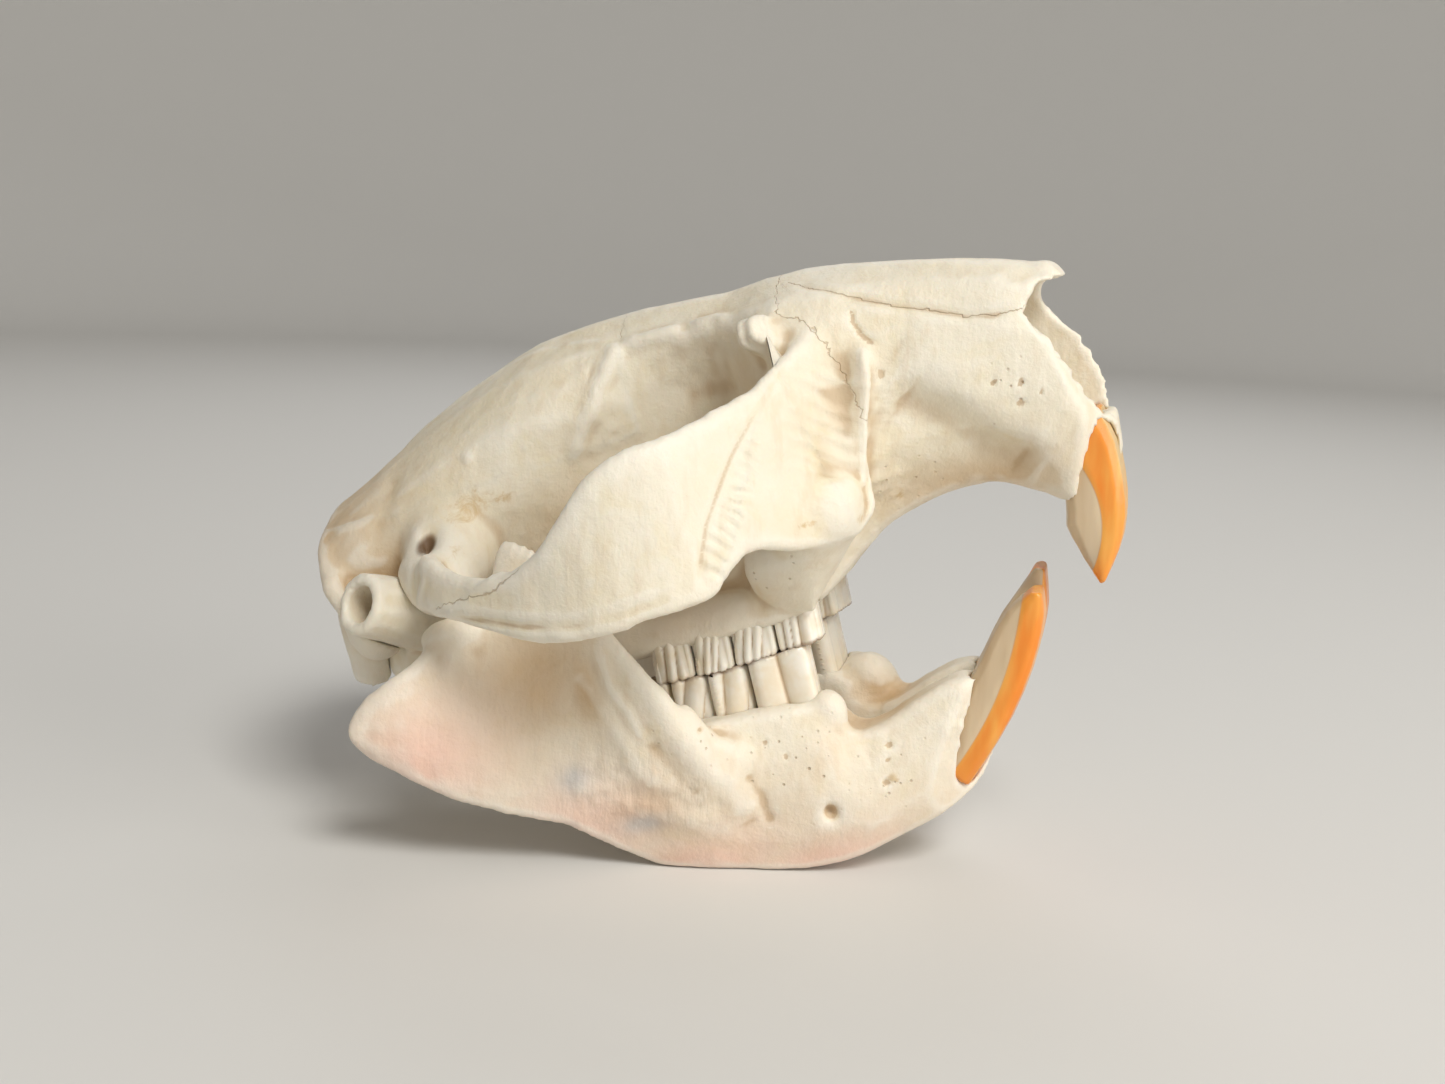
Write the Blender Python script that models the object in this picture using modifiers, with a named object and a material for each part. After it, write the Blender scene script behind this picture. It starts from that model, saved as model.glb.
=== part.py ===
# Beaver skull with its lower jaw, life size, lying on the rounded bottoms of the jaw halves.
#
# Sizes are in millimetres in the skull's own frame, where x runs forward from the front of the
# first upper cheek tooth, y runs to the animal's left and z runs up from the level of the upper
# chewing surfaces. The skull then lies with its snout raised by SNOUT_PITCH degrees.

import math

import bmesh
import bpy
import numpy as np
from mathutils import Matrix, Vector

MM = 0.001
RIGHT, LEFT = -1, 1
GAP = 0.3

# How the skull lies
SNOUT_PITCH = 16.0
FLOOR_BELOW_FRAME = 36.4
ORIGIN_SHIFT_X = 18.9

# Main sizes
ARCH_THICKNESS = 4.4
SYMPHYSIS_HALF_GAP = 0.15
SOCKET_DEPTH = 3.0
INCISOR_WIDTH = 7.7
INCISOR_POINTS = 12
INCISOR_STATIONS = 11
RAMUS_THICKNESS = 3.8

# Cross-sections of the cranial tube: x, bottom, top, half-widths at TUBE_LEVELS of the height
TUBE_LEVELS = (0.0, 0.25, 0.5, 0.75, 0.9, 1.0)
CRANIAL_TUBE = [
    (50.9, 17.6, 28.0, (4.0, 6.0, 7.5, 8.4, 8.5, 7.0)),
    (47.0, 13.5, 46.0, (6.5, 9.6, 11.5, 11.0, 9.5, 6.5)),
    (43.0, 11.4, 47.9, (7.5, 10.2, 12.0, 12.2, 11.0, 7.0)),
    (38.0, 14.4, 49.6, (6.5, 11.0, 13.0, 13.0, 11.8, 7.5)),
    (30.0, 17.2, 51.5, (5.5, 12.0, 14.5, 13.8, 12.0, 7.5)),
    (20.0, 15.8, 53.4, (5.5, 12.0, 15.5, 15.5, 13.5, 7.0)),
    (12.0, 12.4, 54.6, (6.0, 14.5, 16.8, 18.3, 15.5, 6.0)),
    (5.0, 6.6, 54.7, (7.0, 14.0, 15.0, 19.3, 17.0, 6.0)),
    (-1.0, 2.8, 54.2, (12.0, 13.2, 11.0, 13.0, 14.5, 5.0)),
    (-4.5, 2.6, 54.1, (13.2, 12.6, 7.5, 8.5, 13.2, 5.0)),
    (-10.0, 2.4, 54.3, (14.2, 12.0, 6.5, 8.0, 12.5, 5.0)),
    (-18.0, 2.0, 54.7, (15.4, 9.0, 8.0, 12.5, 12.5, 4.0)),
    (-28.0, 4.0, 54.2, (14.0, 8.5, 13.5, 17.5, 13.5, 4.0)),
    (-36.0, 9.0, 53.1, (6.5, 12.0, 18.3, 19.0, 13.5, 4.0)),
    (-44.0, 12.0, 50.3, (7.0, 16.5, 21.3, 19.0, 13.0, 4.0)),
    (-52.0, 12.5, 46.8, (8.0, 19.0, 23.0, 19.5, 13.0, 5.0)),
    (-60.0, 12.5, 42.9, (9.0, 20.5, 24.0, 19.5, 13.5, 6.0)),
    (-67.0, 12.5, 38.4, (12.0, 22.0, 25.5, 22.0, 16.0, 9.0)),
    (-72.0, 12.0, 35.9, (12.0, 19.0, 23.5, 21.0, 16.5, 10.0)),
    (-75.4, 12.4, 34.0, (8.0, 13.0, 17.5, 17.5, 14.0, 10.0)),
]

# Brain cavity, open to the rear through the foramen magnum
BRAIN_CAVITY = [
    (-23.0, 37.0, 46.5, (2.0, 4.0, 6.0, 6.5, 4.5, 2.0)),
    (-28.0, 25.0, 50.6, (4.0, 8.0, 11.5, 13.5, 9.0, 4.0)),
    (-36.0, 16.0, 50.0, (6.0, 13.5, 16.2, 16.0, 10.5, 4.0)),
    (-44.0, 15.0, 47.4, (7.5, 15.5, 18.8, 16.0, 11.5, 5.0)),
    (-54.0, 15.0, 43.0, (8.0, 17.0, 20.8, 16.5, 12.0, 6.0)),
    (-62.0, 15.8, 38.6, (9.0, 17.5, 20.8, 17.0, 12.0, 6.0)),
    (-69.0, 16.8, 33.8, (8.0, 13.5, 16.5, 15.0, 11.0, 6.0)),
    (-71.6, 18.5, 30.0, (6.0, 9.0, 11.0, 10.0, 8.0, 5.0)),
]
# The seam around the roof runs level to this corner, x and z, and then up; it falls to the rear
ROOF_CORNER = (-19.5, 36.0)
ROOF_SEAM_RISE = 0.08

FORAMEN_MAGNUM_CENTRE_Z = 22.0
FORAMEN_MAGNUM_WIDTH = 15.0
FORAMEN_MAGNUM_HEIGHT = 11.4

# Rear air passage under the braincase
REAR_PASSAGE_START = (-46.0, 0.0, 7.5)
REAR_PASSAGE_END = (-8.0, 0.0, 11.5)
REAR_PASSAGE_RADIUS = 4.6

# Nasal cavity, open to the front
NASAL_CAVITY = [
    (60.0, 24.0, 44.3, (6.0, 8.0, 8.8, 9.0, 8.8, 8.5)),
    (45.0, 24.0, 45.0, (6.0, 8.0, 9.2, 9.4, 9.0, 8.0)),
    (34.0, 26.0, 46.0, (5.0, 8.0, 9.0, 8.5, 7.5, 5.0)),
    (24.0, 32.0, 44.0, (3.0, 4.5, 5.0, 5.0, 4.0, 3.0)),
]
# Side view of the front margin: everything inside this outline is cut away under the nasal bones
NASAL_OPENING_OUTLINE = [
    (42.6, 42.9), (43.4, 44.8), (49.0, 44.3), (60.0, 44.0),
    (60.0, 20.0), (52.4, 24.0), (49.8, 31.0), (47.2, 36.5),
]

# Cheekbone arch on the left side: lower and upper border from the snout to the braincase
ARCH_LOWER = [
    (15.0, 15.5, 17.0), (10.0, 22.0, 14.0), (5.0, 29.0, 15.0), (0.0, 36.0, 17.0),
    (-5.5, 42.5, 12.4), (-11.0, 45.6, 12.1), (-17.0, 47.2, 11.4), (-23.0, 47.3, 11.1),
    (-29.0, 46.4, 12.0), (-35.0, 44.8, 13.9), (-41.0, 42.4, 15.9), (-46.5, 39.5, 17.6),
    (-51.0, 34.0, 18.0), (-55.0, 24.0, 17.0),
]
ARCH_UPPER = [
    (14.0, 14.5, 46.0), (9.5, 20.5, 45.0), (4.5, 28.5, 40.8), (-1.0, 36.0, 38.2),
    (-6.5, 42.2, 36.6), (-11.5, 45.2, 36.0), (-16.5, 46.9, 33.8), (-21.0, 47.2, 30.0),
    (-26.5, 46.6, 24.8), (-34.0, 44.4, 22.5), (-41.0, 41.2, 23.4), (-46.0, 37.5, 25.6),
    (-50.0, 32.5, 27.5), (-54.0, 24.0, 31.0),
]

# Left half of the lower jaw: cross-sections x, centre y, bottom, top, half-widths at JAW_LEVELS
JAW_LEVELS = (0.0, 0.25, 0.5, 0.75, 1.0)
JAW_BODY = [
    (27.4, 2.6, -18.4, -15.2, (0.8, 1.6, 2.0, 1.6, 0.8)),
    (24.5, 3.8, -21.8, -12.4, (2.2, 3.6, 3.9, 3.7, 2.6)),
    (20.0, 4.9, -28.4, -11.2, (2.8, 4.6, 4.9, 4.7, 3.4)),
    (14.0, 5.8, -31.8, -12.9, (3.0, 5.5, 5.9, 5.6, 4.0)),
    (8.0, 7.0, -33.6, -15.5, (3.5, 6.5, 7.0, 6.4, 4.4)),
    (3.0, 8.6, -34.8, -15.8, (4.0, 7.0, 7.8, 7.0, 5.0)),
    (-0.5, 10.0, -35.4, -10.6, (4.2, 7.0, 8.0, 7.2, 5.2)),
    (-5.0, 11.2, -35.6, -9.2, (4.2, 7.0, 8.0, 7.4, 5.4)),
    (-14.0, 14.0, -34.5, -9.0, (3.6, 6.0, 7.0, 7.0, 5.4)),
    (-20.0, 15.8, -33.2, -9.0, (3.2, 5.4, 6.4, 6.6, 5.6)),
    (-26.0, 17.8, -31.4, -9.0, (2.8, 4.6, 5.6, 6.0, 5.6)),
    (-31.0, 20.4, -28.2, -8.0, (2.4, 3.6, 4.4, 4.6, 4.0)),
]
# The left half's bone reaches further forward in front of its first cheek tooth
LEFT_JAW_SLOPE_CENTRE = (2.6, 9.6, -14.0)
LEFT_JAW_SLOPE_RADII = (5.2, 4.6, 5.8)

# Upright plate behind the teeth: lower and upper border from the jaw body to the angle
RAMUS_LOWER = [
    (-12.0, 15.0, -33.0), (-17.0, 16.8, -33.6), (-22.0, 18.5, -32.9), (-26.5, 20.0, -31.3),
    (-31.8, 22.0, -28.2), (-36.4, 25.0, -24.0), (-41.0, 28.0, -19.4), (-45.0, 30.2, -17.0),
    (-51.0, 33.2, -13.4), (-56.7, 36.0, -8.8), (-60.4, 37.5, -5.0), (-63.6, 38.2, -1.9),
    (-65.3, 38.4, 1.0),
]
RAMUS_UPPER = [
    (-11.0, 19.5, -14.0), (-15.4, 23.0, -9.6), (-18.6, 27.0, -4.0), (-21.8, 29.0, 3.7),
    (-25.6, 29.6, 11.0), (-31.0, 29.0, 20.0), (-36.0, 28.4, 25.2), (-40.0, 28.4, 25.0),
    (-44.5, 29.8, 14.4), (-51.5, 32.4, 13.2), (-56.0, 35.8, 10.6), (-61.4, 37.8, 8.2),
    (-65.6, 38.6, 4.2),
]

# Slanting planes, on the left side, that open the incisor sockets
LOWER_SOCKET_POINT = (20.6, 9.0, -13.5)
LOWER_SOCKET_NORMAL = (0.70, 0.66, -0.27)
UPPER_SOCKET_POINT = (46.5, 9.0, 21.5)
UPPER_SOCKET_NORMAL = (0.73, 0.57, -0.37)

# Incisors: the front face follows points in the side view, from inside the socket to the tip
UPPER_INCISOR_FRONT = [
    (48.6, 24.5), (49.9, 20.5), (50.1, 16.0), (49.8, 11.0), (48.8, 6.8), (46.9, 3.0), (44.4, -0.4),
]
UPPER_INCISOR_REAR = [
    (39.8, 20.0), (41.0, 16.0), (41.3, 12.0), (40.6, 8.4), (41.4, 5.6), (42.4, 2.6), (43.9, -0.5),
]
LOWER_INCISOR_FRONT = [
    (18.0, -28.6), (22.8, -23.6), (27.4, -18.0), (31.2, -12.0), (33.6, -7.0), (34.8, -3.4), (34.9, -0.8),
]
LOWER_INCISOR_REAR = [
    (13.6, -22.6), (17.0, -18.4), (20.2, -14.0), (23.4, -10.0), (26.8, -5.4), (30.0, -2.2), (33.6, -0.4),
]
LEFT_LOWER_INCISOR_EXTRA = 2.2
LOWER_TIP_DIRECTION = (0.2, 0.98)

# Cheek teeth on the left side: name, front x, rear x, outer y at front and rear, inner y at front
# and rear, and how far the front and rear faces slant forward per millimetre outward
UPPER_CHEEK_TEETH = [
    ("P4", 1.4, -4.9, 13.4, 14.6, 4.6, 6.2, 0.28),
    ("M1", -5.3, -11.8, 14.4, 15.6, 6.8, 8.0, 0.0),
    ("M2", -12.2, -18.0, 15.4, 16.6, 8.4, 9.6, 0.0),
    ("M3", -18.4, -24.4, 16.2, 17.2, 9.8, 11.0, 0.0),
]
LOWER_CHEEK_TEETH = [
    ("p4", -1.2, -10.4, 13.6, 15.2, 5.6, 6.8, 0.3),
    ("m1", -10.8, -16.6, 14.8, 16.0, 7.4, 8.4, 0.0),
    ("m2", -17.0, -22.4, 15.8, 16.8, 8.8, 9.8, 0.0),
    ("m3", -22.8, -27.8, 16.4, 17.0, 10.2, 11.0, 0.0),
]
CHEEK_TOOTH_POINTS = 18

EAR_BULLA_CENTRE = (-57.0, 15.0, 9.3)
EAR_BULLA_RADII = (11.5, 8.6, 9.2)
EAR_TUBE_INNER_END = (-57.0, 20.0, 15.0)
EAR_TUBE_OUTER_END = (-62.0, 33.0, 21.0)

# Triangles kept in each skin once it is thinned
CRANIUM_TRIANGLES = 4600
BRAIN_CAVITY_TRIANGLES = 420
JAW_TRIANGLES = 1500
BULLA_TRIANGLES = 300

# Heights where the crowns of the cheek teeth leave the bone, and the gap between the rows
LOWER_CROWN_BASE = -9.2
UPPER_CROWN_BASE = 2.2
FIRST_UPPER_CROWN_BASE = 4.0
BITE_GAP = 0.45

# Colour and roughness of each material
MATERIALS = {
    "bone": ((0.80, 0.72, 0.58), 0.55),
    "jaw_bone": ((0.81, 0.71, 0.58), 0.55),
    "bulla_bone": ((0.78, 0.70, 0.56), 0.5),
    "tooth": ((0.83, 0.77, 0.66), 0.3),
    "incisor_enamel": ((0.82, 0.36, 0.07), 0.28),
}


def clear_scene():
    for thing in list(bpy.data.objects):
        bpy.data.objects.remove(thing, do_unlink=True)


def new_collection(name):
    collection = bpy.data.collections.new(name)
    bpy.context.scene.collection.children.link(collection)
    return collection


def make_material(name):
    colour, roughness = MATERIALS[name]
    material = bpy.data.materials.new(name)
    material.use_nodes = True
    shader = material.node_tree.nodes["Principled BSDF"]
    shader.inputs["Base Color"].default_value = (*colour, 1.0)
    shader.inputs["Roughness"].default_value = roughness
    shader.inputs["Metallic"].default_value = 0.0
    return material


def add_object(name, mesh, collection):
    thing = bpy.data.objects.new(name, mesh)
    collection.objects.link(thing)
    return thing


def smooth_points(points, count):
    """Points of a Catmull-Rom curve through the given points."""
    known = [np.array(p, dtype=float) for p in points]
    known = [2 * known[0] - known[1]] + known + [2 * known[-1] - known[-2]]
    result = []
    for place in np.linspace(0, len(points) - 1, count):
        i = min(int(place), len(points) - 2)
        t = place - i
        a, b, c, d = known[i:i + 4]
        slope = c - a
        bend = 2 * a - 5 * b + 4 * c - d
        twist = 3 * b - a - 3 * c + d
        result.append(0.5 * (2 * b + slope * t + bend * t**2 + twist * t**3))
    return result


def loft(name, rings, collection):
    """One closed mesh through rings of points, with a flat cap on each end."""
    shape = bmesh.new()
    rows = [[shape.verts.new(Vector(p) * MM) for p in ring] for ring in rings]
    count = len(rings[0])
    for row, following in zip(rows, rows[1:]):
        for i in range(count):
            j = (i + 1) % count
            shape.faces.new((row[i], row[j], following[j], following[i]))
    shape.faces.new(rows[0])
    shape.faces.new(rows[-1])
    bmesh.ops.triangulate(shape, faces=[f for f in shape.faces if len(f.verts) > 4])
    bmesh.ops.recalc_face_normals(shape, faces=shape.faces)
    mesh = bpy.data.meshes.new(name)
    shape.to_mesh(mesh)
    shape.free()
    return add_object(name, mesh, collection)


def tube_ring(x, centre_y, low, top, widths, levels, points_per_side=12):
    heights = np.linspace(0, 1, points_per_side)
    half = np.interp(heights, levels, widths)
    outer = [(x, centre_y + w, low + t * (top - low)) for t, w in zip(heights, half)]
    inner = [(x, centre_y - w, low + t * (top - low)) for t, w in zip(heights, half)]
    return outer + inner[::-1]


def tube(name, stations, levels, collection, side=LEFT, centred=True, count=40):
    """Loft along x through stations, each with a bottom, a top and half-widths between them."""
    rows = [(x, *rest[:-1], *rest[-1]) for x, *rest in stations]
    rings = []
    for row in smooth_points(rows, count):
        x, centre_y, low, top = (row[0], 0.0, row[1], row[2]) if centred else row[:4]
        rings.append(tube_ring(x, side * centre_y, low, top, row[-len(levels):], levels))
    return loft(name, rings, collection)


def sheet(name, lower, upper, thickness, collection, side=LEFT, bow=0.0, count=44, around=16):
    """A bone plate between two borders, rounded all round; bow hollows its outer face."""
    flip = np.array([1, side, 1])
    low = [p * flip for p in smooth_points(lower, count)]
    high = [p * flip for p in smooth_points(upper, count)]
    middle = [(a + b) / 2 for a, b in zip(low, high)]
    rings = []
    for i, (a, b) in enumerate(zip(low, high)):
        along = middle[min(i + 1, count - 1)] - middle[max(i - 1, 0)]
        outward = np.cross(along, b - a)
        outward /= np.linalg.norm(outward)
        ring = []
        for k in range(around):
            turn = 2 * math.pi * k / around
            up = math.copysign(abs(math.cos(turn)) ** 0.75, math.cos(turn))
            across = math.copysign(abs(math.sin(turn)) ** 0.75, math.sin(turn))
            hollow = bow * (1 - up * up) * side
            ring.append((a + b) / 2 + (b - a) / 2 * up + outward * (across * thickness / 2 + hollow))
        rings.append(ring)
    return loft(name, rings, collection)


def ball(name, centre, radii, collection, side=LEFT):
    mesh = bpy.data.meshes.new(name)
    shape = bmesh.new()
    bmesh.ops.create_uvsphere(shape, u_segments=24, v_segments=14, radius=1.0)
    shape.transform(Matrix.Diagonal((*(Vector(radii) * MM), 1.0)))
    shape.transform(Matrix.Translation(Vector((centre[0], side * centre[1], centre[2])) * MM))
    shape.to_mesh(mesh)
    shape.free()
    return add_object(name, mesh, collection)


def rod(name, start, end, radius_start, radius_end, collection, side=LEFT):
    """A cone or cylinder between two points."""
    a = Vector((start[0], side * start[1], start[2])) * MM
    b = Vector((end[0], side * end[1], end[2])) * MM
    shape = bmesh.new()
    bmesh.ops.create_cone(shape, cap_ends=True, segments=24, radius1=radius_start * MM,
                          radius2=radius_end * MM, depth=(b - a).length)
    turn = Vector((0, 0, 1)).rotation_difference(b - a).to_matrix().to_4x4()
    shape.transform(Matrix.Translation((a + b) / 2) @ turn)
    mesh = bpy.data.meshes.new(name)
    shape.to_mesh(mesh)
    shape.free()
    return add_object(name, mesh, collection)


def box(name, centre, size, collection, facing=(1, 0, 0), along=(0, 0, 1)):
    """A box whose first side runs along facing and whose third side runs close to along."""
    first = Vector(facing).normalized()
    second = Vector(along).cross(first).normalized()
    turn = Matrix((first, second, first.cross(second))).transposed().to_4x4()
    shape = bmesh.new()
    bmesh.ops.create_cube(shape, size=1.0)
    shape.transform(Matrix.Diagonal((*(Vector(size) * MM), 1.0)))
    shape.transform(Matrix.Translation(Vector(centre) * MM) @ turn)
    mesh = bpy.data.meshes.new(name)
    shape.to_mesh(mesh)
    shape.free()
    return add_object(name, mesh, collection)


def extruded(name, outline, half_width, collection):
    """A side-view outline (x, z) as a solid that runs from -half_width to half_width in y."""
    rings = [[(x, y, z) for x, z in outline] for y in (-half_width, half_width)]
    return loft(name, rings, collection)


def apply_modifiers(thing):
    bpy.context.view_layer.update()
    evaluated = thing.evaluated_get(bpy.context.evaluated_depsgraph_get())
    mesh = bpy.data.meshes.new_from_object(evaluated)
    thing.modifiers.clear()
    thing.data = mesh
    mesh.name = thing.name


def remove_things(things):
    for thing in things:
        bpy.data.objects.remove(thing, do_unlink=True)


def melt(name, pieces, voxel, smoothing, triangles, collection):
    """Join overlapping pieces into one smooth skin with about the given number of triangles."""
    shape = bmesh.new()
    for piece in pieces:
        shape.from_mesh(piece.data)
    mesh = bpy.data.meshes.new(name)
    shape.to_mesh(mesh)
    shape.free()
    remove_things(pieces)
    thing = add_object(name, mesh, collection)
    skin = thing.modifiers.new("skin", "REMESH")
    skin.mode = "VOXEL"
    skin.voxel_size = voxel * MM
    soft = thing.modifiers.new("soft", "SMOOTH")
    soft.factor = 0.5
    soft.iterations = smoothing
    apply_modifiers(thing)
    keep_part(thing)
    thin_out(thing, triangles)
    return thing


def thin_out(thing, triangles):
    count = sum(len(face.vertices) - 2 for face in thing.data.polygons)
    if count > triangles:
        fewer = thing.modifiers.new("fewer", "DECIMATE")
        fewer.ratio = triangles / count
        apply_modifiers(thing)


def cut(thing, cutters):
    """Take the cutters away; the exact solver leaves open edges on these skins, so MANIFOLD does it."""
    for cutter in cutters:
        tool = thing.modifiers.new("cut", "BOOLEAN")
        tool.operation = "DIFFERENCE"
        tool.solver = "MANIFOLD"
        tool.object = cutter
    apply_modifiers(thing)


def keep_part(thing, near=None):
    """Keep one closed surface: the one nearest to a point, or the largest one."""
    shape = bmesh.new()
    shape.from_mesh(thing.data)
    islands, seen = [], set()
    for start in shape.verts:
        if start in seen:
            continue
        island, stack = [], [start]
        seen.add(start)
        while stack:
            vert = stack.pop()
            island.append(vert)
            for edge in vert.link_edges:
                other = edge.other_vert(vert)
                if other not in seen:
                    seen.add(other)
                    stack.append(other)
        islands.append(island)
    if near is None:
        kept = max(islands, key=len)
    else:
        target = Vector(near) * MM
        kept = min(islands, key=lambda island: min((v.co - target).length for v in island))
    kept = set(kept)
    bmesh.ops.delete(shape, geom=[v for v in shape.verts if v not in kept], context="VERTS")
    shape.to_mesh(thing.data)
    shape.free()


def copy_object(thing, name, collection):
    return add_object(name, thing.data.copy(), collection)


def grown(thing, name, collection):
    """A copy that stands off by the gap, for cutting the bed the piece lies in."""
    bed = copy_object(thing, name, collection)
    wider = bed.modifiers.new("wider", "DISPLACE")
    wider.strength = 1.4 * GAP * MM
    wider.mid_level = 0.0
    apply_modifiers(bed)
    return bed


def mirrored(thing, name, collection):
    other = copy_object(thing, name, collection)
    shape = bmesh.new()
    shape.from_mesh(other.data)
    bmesh.ops.transform(shape, matrix=Matrix.Diagonal((1, -1, 1, 1)), verts=shape.verts)
    bmesh.ops.reverse_faces(shape, faces=shape.faces)
    shape.to_mesh(other.data)
    shape.free()
    return other


def incisor(name, front, rear, collection):
    """Left incisor: a curved bar with a rounded front, worn to a chisel edge."""
    rings = []
    width = INCISOR_WIDTH
    fronts = smooth_points(front, INCISOR_STATIONS)
    rears = smooth_points(rear, INCISOR_STATIONS)
    for (fx, fz), (rx, rz) in zip(fronts, rears):
        ring = []
        for k in range(INCISOR_POINTS):
            turn = 2 * math.pi * k / INCISOR_POINTS
            deep = math.copysign(abs(math.cos(turn)) ** 0.6, math.cos(turn))
            wide = math.copysign(abs(math.sin(turn)) ** 0.6, math.sin(turn))
            wide *= (1.0 + 0.1 * deep) / 1.1
            share = (1 + deep) / 2
            y = SYMPHYSIS_HALF_GAP + width / 2 + wide * width / 2
            ring.append((rx + (fx - rx) * share, y, rz + (fz - rz) * share))
        rings.append(ring)
    return loft(name, rings, collection)


def cheek_tooth(name, spec, root_z, chewing_front, chewing_rear, grooves, collection):
    """Left cheek tooth: an upright rounded block with upright grooves in its outer and inner faces."""
    _, x_front, x_rear, outer_front, outer_rear, inner_front, inner_rear, slant = spec
    rings = []
    for level in (0.0, 0.45, 1.0):
        ring = []
        for k in range(CHEEK_TOOTH_POINTS):
            turn = 2 * math.pi * k / CHEEK_TOOTH_POINTS
            u = math.copysign(abs(math.cos(turn)) ** 0.55, math.cos(turn))
            v = math.copysign(abs(math.sin(turn)) ** 0.55, math.sin(turn))
            dent = 0.35 * (1 + math.cos(grooves * math.pi * u)) * abs(v)
            x = (x_front + x_rear) / 2 + u * (x_front - x_rear) / 2
            share = (x - x_rear) / (x_front - x_rear)
            outer = outer_rear + share * (outer_front - outer_rear)
            inner = inner_rear + share * (inner_front - inner_rear)
            y = (outer + inner) / 2 + v * ((outer - inner) / 2 - dent)
            chewing = chewing_rear + share * (chewing_front - chewing_rear)
            x += slant * share * (y - (outer + inner) / 2)
            ring.append((x, y, root_z + level * (chewing - root_z)))
        rings.append(ring)
    return loft(name, rings, collection)


def cranium_skin(work):
    """Braincase, snout and cheekbone arches as one solid skin, before it is divided into bones."""
    pieces = [tube("tube", CRANIAL_TUBE, TUBE_LEVELS, work, count=60)]
    for side in (RIGHT, LEFT):
        pieces.append(sheet("arch", ARCH_LOWER, ARCH_UPPER, ARCH_THICKNESS, work, side=side, bow=-1.2))
        pieces += skull_lumps(work, side)
    return melt("cranium", pieces, 1.0, 6, CRANIUM_TRIANGLES, work)


def skull_lumps(work, side):
    """Tear bone, plate ridge, crests, condyle, processes and the root of the arch."""
    rim = [(-75.0, 0.0, 34.6), (-73.0, 9.0, 34.2), (-71.9, 15.0, 32.6),
           (-71.6, 22.0, 28.6), (-69.0, 27.2, 23.0), (-66.0, 28.2, 17.5)]
    lumps = [
        ball("tear_bone", (3.6, 19.6, 46.6), (3.4, 2.6, 3.4), work, side),
        ball("cheek_base", (2.5, 16.2, 12.5), (9.5, 7.0, 8.5), work, side),
        ball("tubercle", (11.6, 16.4, 19.0), (2.8, 2.2, 4.0), work, side),
        ball("condyle", (-75.6, 7.2, 15.4), (3.4, 3.2, 4.6), work, side),
        ball("mastoid", (-64.0, 25.5, 16.5), (5.0, 5.0, 6.0), work, side),
        rod("paroccipital", (-67.6, 20.5, 19.0), (-71.0, 18.5, 6.4), 5.0, 3.0, work, side),
        ball("arch_root", (-53.0, 25.5, 22.0), (5.5, 6.0, 5.0), work, side),
        rod("plate_ridge", (18.0, 16.6, 41.0), (13.0, 17.2, 22.0), 1.3, 1.5, work, side),
        sheet("wing", [(-25.0, 8.0, 3.0), (-31.0, 7.6, 4.0), (-37.0, 8.2, 6.0)],
              [(-25.0, 8.0, 14.0), (-31.0, 7.6, 14.0), (-38.0, 8.2, 14.0)], 2.6, work, side, count=8),
    ]
    for a, b in zip(rim, rim[1:]):
        lumps.append(rod("rim", a, b, 1.7, 1.7, work, side))
        lumps.append(ball("rim_knot", b, (1.7, 1.7, 1.7), work, side))
    return lumps


def open_cranium(cranium, work):
    """Cut the nasal opening, the brain cavity and the foramen magnum."""
    nasal = tube("nasal_cavity", NASAL_CAVITY, TUBE_LEVELS, work, count=14)
    opening = extruded("nasal_opening", NASAL_OPENING_OUTLINE, 20.0, work)
    brain = tube("brain_cavity", BRAIN_CAVITY, TUBE_LEVELS, work, count=16)
    thin_out(brain, BRAIN_CAVITY_TRIANGLES)
    z = FORAMEN_MAGNUM_CENTRE_Z
    foramen = rod("foramen_magnum", (-68.0, 0.0, z), (-84.0, 0.0, z), 5.0, 5.0, work)
    foramen.data.transform(Matrix.Translation((0, 0, z * MM)) @ Matrix.Diagonal(
        (1, FORAMEN_MAGNUM_WIDTH / 10, FORAMEN_MAGNUM_HEIGHT / 10, 1)) @ Matrix.Translation((0, 0, -z * MM)))
    radius = REAR_PASSAGE_RADIUS
    passage = rod("rear_passage", REAR_PASSAGE_START, REAR_PASSAGE_END, radius, radius, work)
    cutters = [opening, nasal, brain, foramen, passage]
    cutters += [socket_plane(UPPER_SOCKET_POINT, UPPER_SOCKET_NORMAL, work, side) for side in (RIGHT, LEFT)]
    cut(cranium, cutters)
    remove_things(cutters)


def socket_plane(point, normal, work, side=LEFT):
    """A block whose near face lies in the slanting mouth of an incisor socket."""
    middle = Vector(point) + Vector(normal).normalized() * 20
    flip = Matrix.Diagonal((1, side, 1))
    return box("socket_plane", flip @ middle, (40.0, 60.0, 60.0), work, facing=flip @ Vector(normal))


def ear_bulla(work):
    """Left ear capsule with its tube-shaped ear opening."""
    pieces = [
        ball("capsule", EAR_BULLA_CENTRE, EAR_BULLA_RADII, work),
        rod("ear_tube", EAR_TUBE_INNER_END, EAR_TUBE_OUTER_END, 5.6, 4.6, work),
    ]
    bulla = melt("bulla", pieces, 0.8, 4, BULLA_TRIANGLES, work)
    inner, outer = Vector(EAR_TUBE_INNER_END), Vector(EAR_TUBE_OUTER_END)
    way = (outer - inner).normalized()
    bore = rod("ear_opening", outer - way * 8, outer + way * 4, 2.4, 3.6, work)
    cut(bulla, [bore])
    remove_things([bore])
    return bulla


def seam_cuts(work, side):
    """Thin slabs along the sutures that part the cheekbone from its neighbours."""
    front = box("front_seam", (1.2, side * 33.5, 29.0), (GAP, 12.0, 42.0), work,
                facing=(0.51, side * -0.68, -0.53), along=(-9.0, side * 16.0, -29.0))
    rear = box("rear_seam", (-38.2, side * 43.0, 20.6), (GAP, 12.0, 26.0), work,
               facing=(0.38, 0.0, -0.925), along=(-0.92, side * -0.2, -0.38))
    return [front, rear]


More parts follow.
